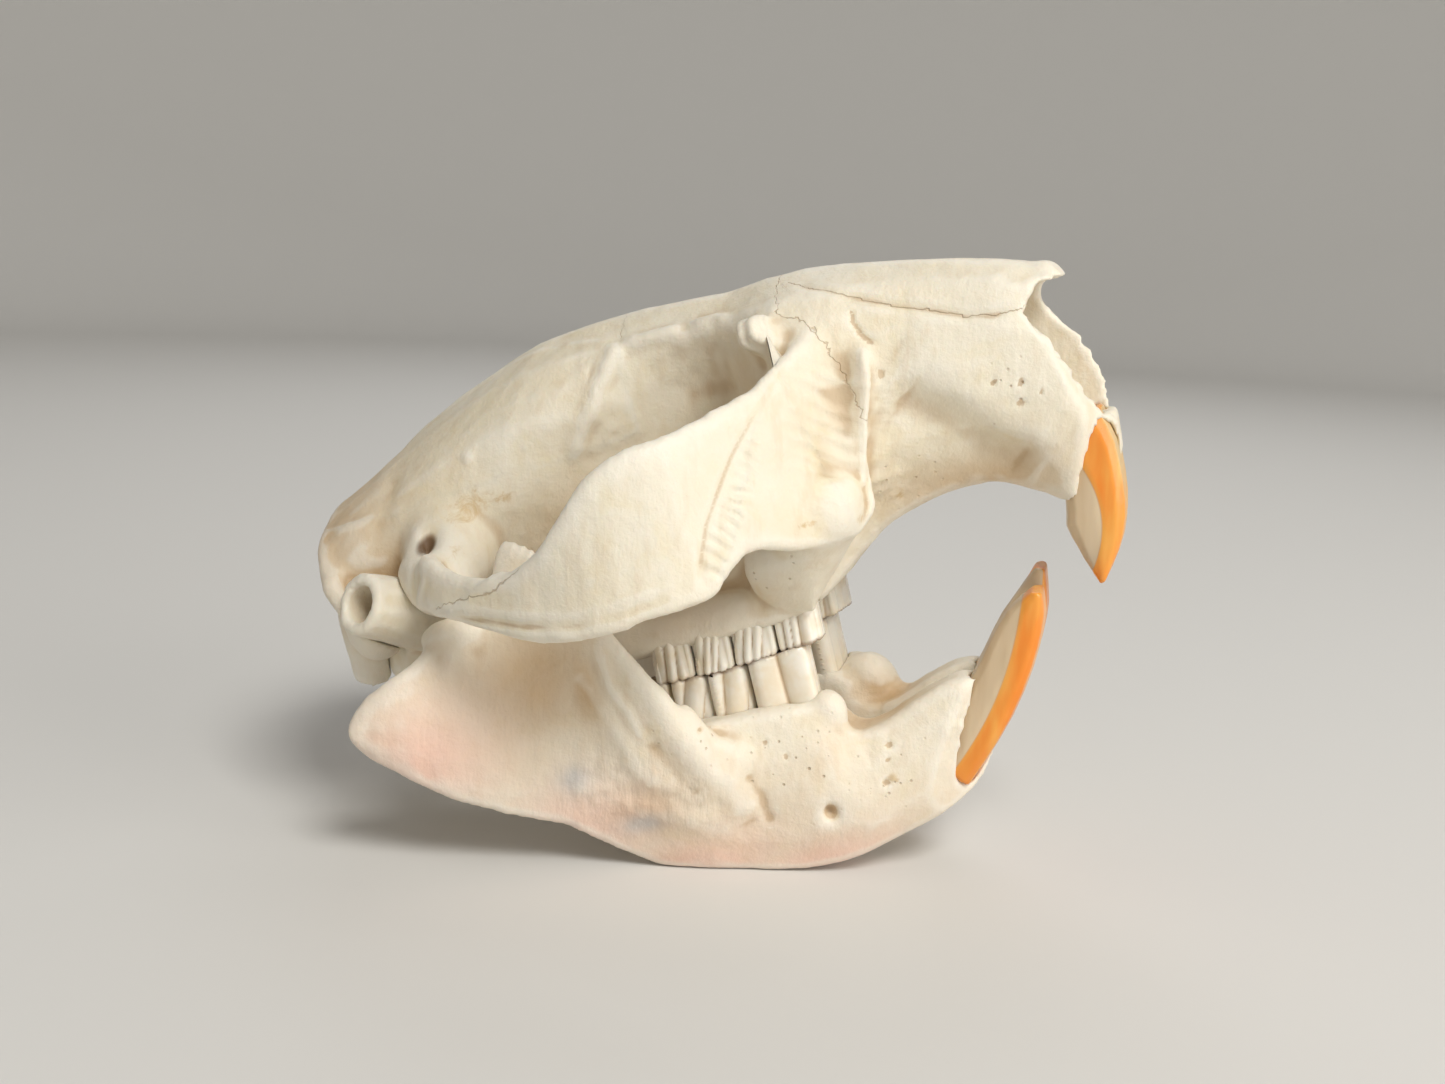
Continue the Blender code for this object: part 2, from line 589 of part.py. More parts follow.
def roof_seams(work):
    """A level slab and an upright one, which meet above the eye socket and part off the roof."""
    x, z = ROOF_CORNER
    rise = ROOF_SEAM_RISE
    reach = 70.0
    level = box("roof_lower_seam", (x - reach / 2, 0.0, z - rise * reach / 2),
                (GAP, 80.0, reach * math.hypot(1.0, rise) + GAP), work,
                facing=(-rise, 0.0, 1.0), along=(1.0, 0.0, rise))
    upright = box("roof_front_seam", (x, 0.0, z + 15.0), (GAP, 80.0, 30.0), work)
    return [level, upright]


def divide_cranium(cranium, work):
    """Part the skin into snout, roof, braincase and the two cheekbones along the sutures."""
    slabs = [box("snout_seam", (9.0, 0.0, 30.0), (GAP, 90.0, 80.0), work, facing=(1, 0, 0.18))]
    slabs += roof_seams(work)
    for side in (RIGHT, LEFT):
        slabs += seam_cuts(work, side)
    cut(cranium, slabs)
    remove_things(slabs)
    seeds = {
        "snout": (40.0, 0.0, 48.0),
        "braincase": (-70.0, 22.0, 20.0),
        "skull_roof": (-50.0, 0.0, 48.0),
        "cheekbone_R": (-18.0, RIGHT * 49.0, 24.0),
        "cheekbone_L": (-18.0, LEFT * 49.0, 24.0),
    }
    parts = {}
    for name, seed in seeds.items():
        parts[name] = copy_object(cranium, name + "_part", work)
        keep_part(parts[name], seed)
    remove_things([cranium])
    return parts


def jaw_half(work, extra=()):
    """One half of the lower jaw, on the left side: body, plate, joint head and muscle ridge."""
    pieces = [
        *extra,
        tube("jaw_body", JAW_BODY, JAW_LEVELS, work, centred=False, count=40),
        sheet("ramus", RAMUS_LOWER, RAMUS_UPPER, RAMUS_THICKNESS, work, bow=0.6, count=50),
        ball("jaw_condyle", (-49.0, 30.5, 12.9), (6.0, 3.4, 3.2), work),
        ball("jaw_condyle_neck", (-49.5, 31.6, 9.0), (4.0, 2.6, 5.0), work),
        ball("front_bulge", (0.2, 12.6, -12.0), (3.2, 3.0, 3.8), work),
    ]
    ridge = [(-11.5, 17.0, -24.5), (-12.2, 18.6, -20.4), (-15.3, 20.6, -16.0), (-17.6, 23.0, -11.0),
             (-19.4, 25.5, -5.0)]
    for a, b in zip(ridge, ridge[1:]):
        pieces.append(rod("muscle_ridge", a, b, 2.4, 2.2, work))
    jaw = melt("jaw", pieces, 0.9, 5, JAW_TRIANGLES, work)
    middle = box("symphysis", (0.0, -20.0 + SYMPHYSIS_HALF_GAP, -10.0), (200.0, 40.0, 120.0), work)
    front = socket_plane(LOWER_SOCKET_POINT, LOWER_SOCKET_NORMAL, work)
    cut(jaw, [middle, front])
    remove_things([middle, front])
    return jaw


def trim_to_floor(jaw, work):
    """Cut the resting flats, level once the skull lies with its snout raised."""
    floor = box("floor", (0.0, 0.0, -FLOOR_BELOW_FRAME - 20.0), (300.0, 200.0, 40.0), work)
    floor.data.transform(Matrix.Rotation(math.radians(SNOUT_PITCH), 4, "Y"))
    cut(jaw, [floor])
    remove_things([floor])


def longer_tip(points, extra):
    """The same outline with its last point moved on along the tooth, as on the left lower incisor."""
    *kept, before, last = points
    return [*kept, before, tuple(np.array(last) + extra * np.array(LOWER_TIP_DIRECTION))]


def make_teeth(work):
    teeth = {
        "upper_incisor": incisor("upper_incisor", UPPER_INCISOR_FRONT, UPPER_INCISOR_REAR, work),
        "lower_incisor": incisor("lower_incisor", LOWER_INCISOR_FRONT, LOWER_INCISOR_REAR, work),
    }
    for index, spec in enumerate(UPPER_CHEEK_TEETH):
        root = SOCKET_DEPTH + (FIRST_UPPER_CROWN_BASE if index == 0 else UPPER_CROWN_BASE)
        front, rear = upper_chewing_level(spec[1]), upper_chewing_level(spec[2])
        name = "upper_" + spec[0]
        teeth[name] = cheek_tooth(name, spec, root, front, rear, 3, work)
    for spec in LOWER_CHEEK_TEETH:
        front = upper_chewing_level(spec[1]) - BITE_GAP
        rear = upper_chewing_level(spec[2]) - BITE_GAP
        name = "lower_" + spec[0]
        teeth[name] = cheek_tooth(name, spec, LOWER_CROWN_BASE - SOCKET_DEPTH, front, rear, 1, work)
    return teeth


def left_lower_incisor(collection):
    front = longer_tip(LOWER_INCISOR_FRONT, LEFT_LOWER_INCISOR_EXTRA)
    rear = longer_tip(LOWER_INCISOR_REAR, LEFT_LOWER_INCISOR_EXTRA)
    return incisor("lower_incisor_L", front, rear, collection)


def upper_chewing_level(x):
    """Height of the upper chewing surfaces: level 0 in front, 2.2 lower behind."""
    return float(np.interp(x, (-14.0, -6.0, 3.4), (-2.2, -1.2, 0.0)))


def build_skull():
    clear_scene()
    collection = new_collection("beaver_skull")
    work = new_collection("work")
    materials = {name: make_material(name) for name in MATERIALS}
    cranium = cranium_skin(work)
    open_cranium(cranium, work)
    bulla = ear_bulla(work)
    slope = ball("front_slope", LEFT_JAW_SLOPE_CENTRE, LEFT_JAW_SLOPE_RADII, work)
    jaws = {"R": jaw_half(work), "L": jaw_half(work, [slope])}
    for jaw in jaws.values():
        trim_to_floor(jaw, work)
    teeth = make_teeth(work)
    beds = {}
    for name, tooth in [*teeth.items(), ("bulla", bulla)]:
        bed = grown(tooth, name + "_bed", work)
        beds[name] = [bed, mirrored(bed, name + "_bed_other", work)]
    upper = [bed for name, pair in beds.items() if name.startswith(("upper", "bulla")) for bed in pair]
    cut(cranium, upper)
    for jaw in jaws.values():
        cut(jaw, [pair[0] for name, pair in beds.items() if name.startswith("lower")])
        keep_part(jaw)
    remove_things([bed for pair in beds.values() for bed in pair])
    parts = divide_cranium(cranium, work)
    finish(parts, jaws, bulla, teeth, materials, collection)
    remove_things(list(work.objects))
    bpy.data.collections.remove(work)


def finish(parts, jaws, bulla, teeth, materials, collection):
    """Name, colour and place every bone and tooth, and lay the skull on the floor."""
    rest = bpy.data.objects.new("skull_rest", None)
    collection.objects.link(rest)
    rest.rotation_euler = (0, -math.radians(SNOUT_PITCH), 0)
    rest.location = (ORIGIN_SHIFT_X * MM, 0, FLOOR_BELOW_FRAME * MM)
    pieces = []
    for name, part in parts.items():
        pieces.append((copy_object(part, name, collection), materials["bone"]))
    pieces.append((copy_object(jaws["L"], "mandible_L", collection), materials["jaw_bone"]))
    pieces.append((mirrored(jaws["R"], "mandible_R", collection), materials["jaw_bone"]))
    paired = [("ear_bulla", bulla, "bulla_bone")]
    for name, tooth in teeth.items():
        paired.append((name, tooth, "incisor_enamel" if "incisor" in name else "tooth"))
    for name, part, material in paired:
        if name == "lower_incisor":
            left = left_lower_incisor(collection)
        else:
            left = copy_object(part, name + "_L", collection)
        pieces.append((left, materials[material]))
        pieces.append((mirrored(part, name + "_R", collection), materials[material]))
    for piece, material in pieces:
        piece.data.materials.clear()
        piece.data.materials.append(material)
        piece.data.shade_smooth()
        piece.parent = rest


build_skull()
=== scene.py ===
# Beaver skull with its lower jaw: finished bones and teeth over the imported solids.
# Feature places are in millimetres in the skull's own frame: x forward, y to the side, z up from
# the chewing surfaces. Both sides share one list, so y there is the distance from the middle.
import math

import bmesh
import bpy
import numpy as np
from mathutils import Matrix, Vector
from mathutils.bvhtree import BVHTree
from mathutils.kdtree import KDTree


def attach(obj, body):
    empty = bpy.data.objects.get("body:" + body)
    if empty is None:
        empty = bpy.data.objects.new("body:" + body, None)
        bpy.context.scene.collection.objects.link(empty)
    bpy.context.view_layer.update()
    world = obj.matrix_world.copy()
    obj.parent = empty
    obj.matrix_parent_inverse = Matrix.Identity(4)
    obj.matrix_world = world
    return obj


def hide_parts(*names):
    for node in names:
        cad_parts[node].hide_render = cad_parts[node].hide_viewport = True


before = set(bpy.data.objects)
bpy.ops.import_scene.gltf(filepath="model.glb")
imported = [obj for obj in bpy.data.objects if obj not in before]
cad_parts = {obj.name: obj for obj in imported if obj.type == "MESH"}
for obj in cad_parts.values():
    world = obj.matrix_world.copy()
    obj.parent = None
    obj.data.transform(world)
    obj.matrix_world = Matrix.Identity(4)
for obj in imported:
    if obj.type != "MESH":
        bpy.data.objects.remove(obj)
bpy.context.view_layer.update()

lie = {"pitch": 16.0, "forward": 18.9, "up": 36.4}  # how the skull frame lies on the floor
tilt = np.array(Matrix.Rotation(-math.radians(lie["pitch"]), 3, "Y"))
place = np.array([lie["forward"], 0.0, lie["up"]])


def toSkull(points):  # metres in the scene to mm on the skull
    return (points * 1000.0 - place) @ tilt


def toScene(points):
    return (points @ tilt.T + place) / 1000.0


# Camera, as the photograph was taken

photoCamera = {"at": (0.06335, -0.24688, 0.09626), "turn": (79.139, -2.466, 14.589), "lens": 39.86}

cameraData = bpy.data.cameras.new("photoCamera")
cameraData.lens = photoCamera["lens"]
cameraData.sensor_width = 36.0
cameraData.clip_start = 0.01
camera = bpy.data.objects.new("photoCamera", cameraData)
camera.location = photoCamera["at"]
camera.rotation_euler = [math.radians(a) for a in photoCamera["turn"]]
bpy.context.scene.collection.objects.link(camera)
bpy.context.scene.camera = camera
bpy.context.scene.view_settings.view_transform = "Standard"
print("camera set")


# Materials

class Wire:  # one socket, so that sums on sockets read as sums
    def __init__(self, recipe, socket):
        self.recipe = recipe
        self.socket = socket

    def maths(self, operation, *values):
        settings = {"operation": operation}
        return self.recipe.node("ShaderNodeMath", settings, dict(enumerate(values)))

    def __add__(self, other):
        return self.maths("ADD", self, other)

    def __sub__(self, other):
        return self.maths("SUBTRACT", self, other)

    def __rsub__(self, other):
        return self.maths("SUBTRACT", other, self)

    def __mul__(self, other):
        return self.maths("MULTIPLY", self, other)

    def __abs__(self):
        return self.maths("ABSOLUTE", self)

    __radd__ = __add__
    __rmul__ = __mul__


class Recipe:  # one material and its node tree
    def __init__(self, name, roughness):
        self.material = bpy.data.materials.new(name)
        self.material.use_nodes = True
        self.tree = self.material.node_tree
        self.shader = self.tree.nodes["Principled BSDF"]
        self.shader.inputs["Roughness"].default_value = roughness
        self.coords = self.node("ShaderNodeTexCoord", {}, {}, "Object")

    def node(self, kind, settings, inputs, output=0):
        made = self.tree.nodes.new(kind)
        for key, value in settings.items():
            setattr(made, key, value)
        for key, value in inputs.items():
            if isinstance(value, Wire):
                self.tree.links.new(value.socket, made.inputs[key])
            else:
                made.inputs[key].default_value = value
        return Wire(self, made.outputs[output])

    def noise(self, scale, detail=2.0, roughness=0.5, stretch=None, distortion=0.0):
        at = self.coords
        if stretch:
            scales, turn = stretch
            at = self.node("ShaderNodeMapping", {}, {"Vector": at, "Scale": scales, "Rotation": turn})
        return self.node("ShaderNodeTexNoise", {}, {"Vector": at, "Scale": scale, "Detail": detail,
                         "Roughness": roughness, "Distortion": distortion}, "Fac")

    def attribute(self, name):
        return self.node("ShaderNodeAttribute", {"attribute_name": name}, {}, "Fac")

    def between(self, value, low, high):  # 0 below low, 1 above high, smooth between
        return self.node("ShaderNodeMapRange", {"interpolation_type": "SMOOTHSTEP", "clamp": True},
                         {"Value": value, "From Min": low, "From Max": high})

    def mix(self, share, a, b):
        colours = {6: a if isinstance(a, Wire) else (*a, 1.0), 7: b if isinstance(b, Wire) else (*b, 1.0)}
        return self.node("ShaderNodeMix", {"data_type": "RGBA"}, {0: share, **colours}, 2)

    def bump(self, height, strength, distance):
        return self.node("ShaderNodeBump", {}, {"Height": height, "Strength": strength, "Distance": distance})

    def feed(self, socket, wire):
        self.tree.links.new(wire.socket, self.shader.inputs[socket])


def boneMaterial(name, look):
    recipe = Recipe(name, look["roughness"])
    cloud = recipe.noise(38.0, 3.0, 0.55)
    patch = recipe.noise(120.0, 4.0, 0.62, distortion=0.8)
    fine = recipe.noise(420.0, 4.0, 0.6)
    grain = recipe.noise(1500.0, 3.0, 0.65)
    streak = recipe.noise(430.0, 3.0, 0.55, ((1.0, 1.0, 0.16), (0.0, 0.6, 0.0)))
    # painted shade with some dirt: darker in hollows and creases (deep); painted highlight: lighter on ridges
    # (edge)
    deep = recipe.between(recipe.attribute("hollow"), 0.05, 0.75)
    edge = recipe.between(recipe.attribute("hollow") * -1.0, 0.06, 0.5)
    zigzag = recipe.noise(620.0, 2.0, 0.5) - 0.5
    seamGap = abs(recipe.attribute("seam") + zigzag * recipe.attribute("seamWander"))
    seam = (1.0 - recipe.between(seamGap, 0.02, 0.20)) * recipe.attribute("seamShare")
    speck = recipe.noise(300.0, 5.0, 0.7, distortion=1.6)
    stain = recipe.between(recipe.attribute("stain") * 0.45 + speck + (patch - 0.5) * 0.6, 0.72, 1.05)
    stain = stain * recipe.between(recipe.attribute("stain"), 0.05, 0.45)
    pore = recipe.node("ShaderNodeTexVoronoi", {}, {"Vector": recipe.coords, "Scale": look["poreScale"],
                       "Randomness": 1.0}, "Distance")
    pores = (1.0 - recipe.between(pore, 0.06, 0.17)) * recipe.attribute("pores")
    colour = recipe.mix(recipe.between(cloud, 0.35, 0.68), look["pale"], look["cream"])
    colour = recipe.mix(recipe.between(patch, 0.50, 0.74) * 0.4, colour, look["yellow"])
    colour = recipe.mix(recipe.between(fine, 0.46, 0.76) * 0.25, colour, look["white"])
    colour = recipe.mix(recipe.between(streak, 0.50, 0.72) * 0.18, colour, look["tan"])
    # painted shade: browner tone on the back of the braincase, the side walls, the orbit and the bone above
    # the teeth
    colour = recipe.mix(recipe.attribute("tan") * (0.5 + patch * 0.7), colour, look["tan"])
    # painted reflection: pink light reflected onto the lower parts of the jaw
    colour = recipe.mix(recipe.attribute("paintedPinkReflection") * (0.45 + cloud * 0.6), colour, look["paintedPinkReflection"])
    colour = recipe.mix(recipe.attribute("grey") * (0.3 + patch), colour, look["grey"])
    # painted highlight on ridges, then painted shade with some dirt in creases
    colour = recipe.mix(edge * 0.45, colour, look["white"])
    colour = recipe.mix(deep * 0.6, colour, look["shade"])
    colour = recipe.mix(stain * 0.6, colour, look["stain"])
    colour = recipe.mix(seam * 0.45, colour, look["seam"])
    colour = recipe.mix(pores * 0.65, colour, look["seam"])
    # painted shade: near-black inside the ear opening and other pits
    colour = recipe.mix(recipe.between(recipe.attribute("paintedHoleShade"), 0.35, 0.8) * 0.92, colour, look["paintedHoleShade"])
    recipe.feed("Base Color", colour)
    recipe.feed("Roughness", look["roughness"] - 0.06 + fine * 0.14)
    rough = recipe.attribute("rough")
    height = grain * 0.16 + fine * 0.34 + streak * (0.30 + rough * 0.9) - seam * 0.45 - pores * 0.8
    recipe.feed("Normal", recipe.bump(height, look["bump"], 0.0009))
    recipe.shader.inputs["Subsurface Weight"].default_value = look["glow"]
    recipe.shader.inputs["Subsurface Radius"].default_value = (0.9, 0.55, 0.32)
    recipe.shader.inputs["Subsurface Scale"].default_value = 0.0018
    recipe.shader.inputs["Specular IOR Level"].default_value = 0.42
    return recipe.material


boneLook = {
    "pale": (0.83, 0.775, 0.645), "cream": (0.80, 0.715, 0.545), "yellow": (0.77, 0.665, 0.42),
    "white": (0.88, 0.84, 0.75), "paintedPinkReflection": (0.83, 0.53, 0.43), "grey": (0.56, 0.55, 0.54),
    "tan": (0.62, 0.44, 0.255), "shade": (0.50, 0.33, 0.17), "stain": (0.55, 0.36, 0.13),
    "seam": (0.42, 0.27, 0.13), "paintedHoleShade": (0.13, 0.065, 0.025),
    "roughness": 0.50, "bump": 0.55, "glow": 0.12, "poreScale": 560.0,
}
bone = boneMaterial("skullBone", boneLook)
jawBone = boneMaterial("jawBone", {**boneLook, "cream": (0.80, 0.70, 0.55), "bump": 0.60})
print("bone materials made")


# Shaping tools

boneLayers = ("seam", "seamShare", "seamWander", "stain", "hollow", "pores",
              "rough", "paintedPinkReflection", "grey", "tan", "paintedHoleShade")


def copyOf(node, name):
    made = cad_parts[node].copy()
    made.data = made.data.copy()
    made.name = name
    made.data.materials.clear()
    bpy.context.scene.collection.objects.link(made)
    shape = bmesh.new()
    shape.from_mesh(made.data)
    bmesh.ops.remove_doubles(shape, verts=shape.verts, dist=1e-6)
    shape.to_mesh(made.data)
    shape.free()
    return made


def alone(piece):
    bpy.ops.object.select_all(action="DESELECT")
    piece.select_set(True)
    bpy.context.view_layer.objects.active = piece


def remeshed(piece, voxel):
    alone(piece)
    skin = piece.modifiers.new("skin", "REMESH")
    skin.mode = "VOXEL"
    skin.voxel_size = voxel / 1000.0
    bpy.ops.object.modifier_apply(modifier="skin")


def lumps(points, size, seed):  # smooth random values from -1 to 1, about size mm apart
    q = points / size + seed * 17.31
    cell = np.floor(q)
    part = q - cell
    part = part * part * (3.0 - 2.0 * part)
    result = np.zeros(len(points))
    for corner in range(8):
        step = np.array([corner & 1, corner >> 1 & 1, corner >> 2 & 1])
        draw = np.sin((cell + step) @ np.array([127.1, 311.7, 74.7])) * 43758.5453
        weight = np.prod(np.where(step, part, 1.0 - part), axis=1)
        result += weight * (draw - np.floor(draw))
    return result * 2.0 - 1.0


class Skin:  # the points of a piece, on the skull in mm, and what is pushed or painted on them
    def __init__(self, piece):
        self.piece = piece
        mesh = piece.data
        self.count = len(mesh.vertices)
        co = np.empty(self.count * 3, dtype=np.float32)
        mesh.vertices.foreach_get("co", co)
        self.points = toSkull(co.reshape(-1, 3).astype(float))
        ends = np.empty(len(mesh.edges) * 2, dtype=np.int32)
        mesh.edges.foreach_get("vertices", ends)
        self.ends = ends.reshape(-1, 2)
        self.paint = {}

    def relaxed(self, values, steps, pulls=(0.5,)):
        a, b = self.ends.T
        near = np.bincount(a, minlength=self.count) + np.bincount(b, minlength=self.count)
        values = values.copy()
        for step in range(steps):
            for pull in pulls:
                for axis in range(values.shape[1]):
                    line = values[:, axis]
                    total = np.bincount(a, line[b], self.count) + np.bincount(b, line[a], self.count)
                    values[:, axis] = line + pull * (total / near - line)
        return values

    def soften(self, spots, steps):  # blends the creases inside the spots
        share = self.zone(spots)[:, None]
        self.points = self.points + (self.relaxed(self.points, steps) - self.points) * share
        self.write()

    def waves(self, spots, direction, spacing, height, seed):  # uneven parallel wrinkles
        sway = lumps(self.folded, spacing * 2.6, seed) * 2.4
        sway = sway + lumps(self.folded, spacing * 1.2, seed + 1) * 0.8
        crests = np.sin(self.folded @ np.array(direction) / spacing * 2.0 * math.pi + sway)
        uneven = 0.65 + 0.35 * lumps(self.folded, spacing * 2.0, seed + 2)
        self.push(height * crests * uneven * self.zone(spots))

    def smooth(self, steps):  # takes the facets off and keeps the size
        self.points = self.relaxed(self.points, steps, (0.5, -0.52))
        self.write()

    def write(self):
        self.piece.data.vertices.foreach_set("co", toScene(self.points).astype(np.float32).ravel())
        self.piece.data.update()
        facing = np.empty(self.count * 3, dtype=np.float32)
        self.piece.data.vertices.foreach_get("normal", facing)
        self.facing = facing.reshape(-1, 3).astype(float) @ tilt
        self.folded = self.points * (1, 0, 1) + np.abs(self.points) * (0, 1, 0)

    def push(self, amount):  # mm along the surface's own direction
        self.points = self.points + self.facing * amount[:, None]

    def near(self, line):  # distance to a line through points, and which side of it
        best = np.full(self.count, 1e9)
        side = np.zeros(self.count)
        along = np.zeros(self.count)
        inside = np.zeros(self.count)
        folded = self.folded
        facing = self.facing * np.where(self.points[:, 1:2] < 0, (1, -1, 1), (1, 1, 1))
        knots = [np.array(p, dtype=float) for p in line]
        for index, (a, b) in enumerate(zip(knots, knots[1:])):
            run = b - a
            share = (folded - a) @ run / (run @ run)
            held = np.clip(share, 0.0, 1.0)
            gap = folded - a - held[:, None] * run
            distance = np.linalg.norm(gap, axis=1)
            closer = distance < best
            best = np.where(closer, distance, best)
            turned = np.sign(np.einsum("ij,ij->i", np.cross(facing, run), gap))
            side = np.where(closer, turned, side)
            along = np.where(closer, (index + held) / (len(knots) - 1), along)
            ended = (index == 0) & (share < 0) | (index == len(knots) - 2) & (share > 1)
            inside = np.where(closer, np.where(ended, 0.0, 1.0), inside)
        return best, side, along, inside

    def ridge(self, line, width, height, taper=0.12):  # a groove where height is below 0
        distance, side, along, inside = self.near(line)
        ends = np.clip(np.minimum(along, 1.0 - along) / taper, 0.0, 1.0)
        self.push(height * np.exp(-(distance / width) ** 2) * ends)

    def spot(self, centre, radii, height):
        gap = (self.folded - centre) / radii
        self.push(height * np.exp(-np.linalg.norm(gap, axis=1) ** 2.0))

    def zone(self, spots):  # 1 inside any of the spots, fading out
        share = np.zeros(self.count)
        for centre, radii in spots:
            gap = (self.folded - centre) / radii
            share = np.maximum(share, np.exp(-np.linalg.norm(gap, axis=1) ** 2))
        return share

    def creases(self):  # above 0 in hollows and below 0 on ridges, at two sizes
        result = np.zeros(self.count)
        for steps, weight in ((6, 1.0), (40, 0.45)):
            soft = self.relaxed(self.points, steps)
            result += weight * np.einsum("ij,ij->i", soft - self.points, self.facing) / math.sqrt(steps / 6.0)
        return result * 6.0

    def seams(self, sets):  # signed distance to the nearest line, so that the material can draw it
        best = np.full(self.count, 1e9)
        signed = np.full(self.count, 9.0)
        share = np.zeros(self.count)
        wander = np.zeros(self.count)
        for line, sway in sets:
            distance, side, along, inside = self.near(line)
            closer = distance < best
            best = np.where(closer, distance, best)
            signed = np.where(closer, side * distance, signed)
            share = np.where(closer, inside * np.clip(1.0 - (distance - 1.6) / 0.8, 0.0, 1.0), share)
            wander = np.where(closer, sway, wander)
        self.paint.update(seam=signed, seamShare=share, seamWander=wander)

    def layer(self, name, values):  # one value a point, for the material to read
        made = self.piece.data.attributes.new(name, "FLOAT", "POINT")
        made.data.foreach_set("value", values.astype(np.float32))

    def finish(self):
        self.write()
        for name in boneLayers:
            self.layer(name, self.paint.get(name, np.zeros(self.count)))
        self.piece.data.shade_smooth()


def settle(piece, nodes, material):
    piece.data.materials.clear()
    piece.data.materials.append(material)
    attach(piece, "root")
    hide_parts(*nodes)


# Skull: the bones are remeshed as one skin, shaped, and parted again along wavy sutures

skull = {
    "voxel": 0.545, "smoothing": 28, "closing": 0.45, "seamWave": 0.9, "seamWaveSize": 3.2, "capDepth": 0.9,
    "seamPlanes": [  # the cuts between the solids: a point and a direction
        ((9.0, 0.0, 30.0), (1.0, 0.0, 0.18)),
        ((1.2, 33.5, 29.0), (0.51, -0.68, -0.53)),
        ((-38.2, 43.0, 20.6), (0.38, 0.0, -0.925)),
        ((-19.5, 0.0, 36.0), (1.0, 0.0, 0.0)),
        ((-19.5, 0.0, 36.0), (-0.08, 0.0, 1.0)),
    ],
    "fills": [  # bone that rounds off the roots of the teeth and of the arch: two ends and their radii
        ((-0.8, 11.9, 6.6), (-28.5, 14.4, 5.2), 3.6, 3.7),
        ((7.0, 19.4, 20.0), (0.4, 14.0, 9.6), 7.3, 5.0),
        ((-52.0, 16.0, 26.6), (-50.4, 27.3, 21.6), 8.6, 5.9),
    ],
}
skullNodes = ["snout", "skull_roof", "braincase", "cheekbone_L", "cheekbone_R"]


def closeSeams(piece):  # moves the faces of the cuts a little past each other
    mesh = piece.data
    co = np.empty(len(mesh.vertices) * 3, dtype=np.float32)
    mesh.vertices.foreach_get("co", co)
    points = toSkull(co.reshape(-1, 3).astype(float))
    for point, direction in skull["seamPlanes"]:
        for side in (1, -1):
            at = np.array(point) * (1, side, 1)
            way = np.array(direction) * (1, side, 1)
            way = way / np.linalg.norm(way)
            depth = (points - at) @ way
            onCut = np.abs(np.abs(depth) - 0.15) < 0.02
            points[onCut] -= (np.sign(depth[onCut]) * skull["closing"])[:, None] * way
            if point[1] == 0.0:
                break
    mesh.vertices.foreach_set("co", toScene(points).astype(np.float32).ravel())
    mesh.update()


def fill(start, end, startRadius, endRadius, side):  # a tapering bar with round ends
    ends = [Vector(toScene(np.array(point) * (1, side, 1))) for point in (start, end)]
    radii = [startRadius / 1000.0, endRadius / 1000.0]
    made = []
    for at, radius in zip(ends, radii):
        bpy.ops.mesh.primitive_uv_sphere_add(segments=32, ring_count=16, radius=radius, location=at)
        made.append(bpy.context.object)
    way = ends[1] - ends[0]
    middle = (ends[0] + ends[1]) / 2.0
    turn = way.to_track_quat("Z", "Y").to_euler()
    bpy.ops.mesh.primitive_cone_add(vertices=32, radius1=radii[0], radius2=radii[1], depth=way.length,
                                    location=middle, rotation=turn)
    made.append(bpy.context.object)
    return made


def joinedSkull():
    copies = [copyOf(name, name + "Copy") for name in skullNodes]
    trees = {}
    depsgraph = bpy.context.evaluated_depsgraph_get()
    for name, piece in zip(skullNodes, copies):
        trees[name] = BVHTree.FromObject(piece, depsgraph)
        closeSeams(piece)
    for start, end, startRadius, endRadius in skull["fills"]:
        for side in (1, -1):
            copies += fill(start, end, startRadius, endRadius, side)
    bpy.ops.object.select_all(action="DESELECT")
    for piece in copies:
        piece.select_set(True)
    bpy.context.view_layer.objects.active = copies[0]
    bpy.ops.object.join()
    whole = copies[0]
    whole.name = "wholeSkull"
    remeshed(whole, skull["voxel"])
    return whole, trees


def capped(shape):  # closes the cut edges with a cap set in below the surface
    rim = [edge for edge in shape.edges if edge.is_boundary]
    inward = {vert: vert.normal.copy() * -skull["capDepth"] / 1000.0 for edge in rim for vert in edge.verts}
    for edge in rim:
        edge.smooth = False
    made = bmesh.ops.extrude_edge_only(shape, edges=rim)["geom"]
    fresh = [item for item in made if isinstance(item, bmesh.types.BMVert)]
    tree = KDTree(len(inward))
    known = list(inward)
    for index, vert in enumerate(known):
        tree.insert(vert.co, index)
    tree.balance()
    shifts = [inward[known[tree.find(vert.co)[1]]] for vert in fresh]
    for vert, shift in zip(fresh, shifts):
        vert.co += shift
    loose = [edge for edge in shape.edges if edge.is_boundary]
    bmesh.ops.holes_fill(shape, edges=loose, sides=0)
    bmesh.ops.triangulate(shape, faces=[face for face in shape.faces if len(face.verts) > 4])
    bmesh.ops.recalc_face_normals(shape, faces=shape.faces)


def partedSkull(whole, trees):  # one closed piece for each bone, cut where the nearest solid changes
    mesh = whole.data
    centres = np.empty(len(mesh.polygons) * 3, dtype=np.float32)
    mesh.polygons.foreach_get("center", centres)
    centres = centres.reshape(-1, 3).astype(float)
    local = toSkull(centres)
    wave = np.stack([lumps(local, skull["seamWaveSize"], seed) for seed in (3, 5, 7)], axis=1)
    probes = centres + wave * skull["seamWave"] / 1000.0
    labels = np.zeros(len(centres), dtype=int)
    for index, probe in enumerate(probes):
        reach = [trees[name].find_nearest(Vector(probe))[3] for name in skullNodes]
        labels[index] = int(np.argmin(reach))
    pieces = {}
    for number, name in enumerate(skullNodes):
        piece = whole.copy()
        piece.data = whole.data.copy()
        piece.name = name + "Bone"
        bpy.context.scene.collection.objects.link(piece)
        shape = bmesh.new()
        shape.from_mesh(piece.data)
        shape.faces.ensure_lookup_table()
        spare = [face for face in shape.faces if labels[face.index] != number]
        bmesh.ops.delete(shape, geom=spare, context="FACES")
        capped(shape)
        shape.to_mesh(piece.data)
        shape.free()
        pieces[name] = piece
    bpy.data.objects.remove(whole)
    return pieces


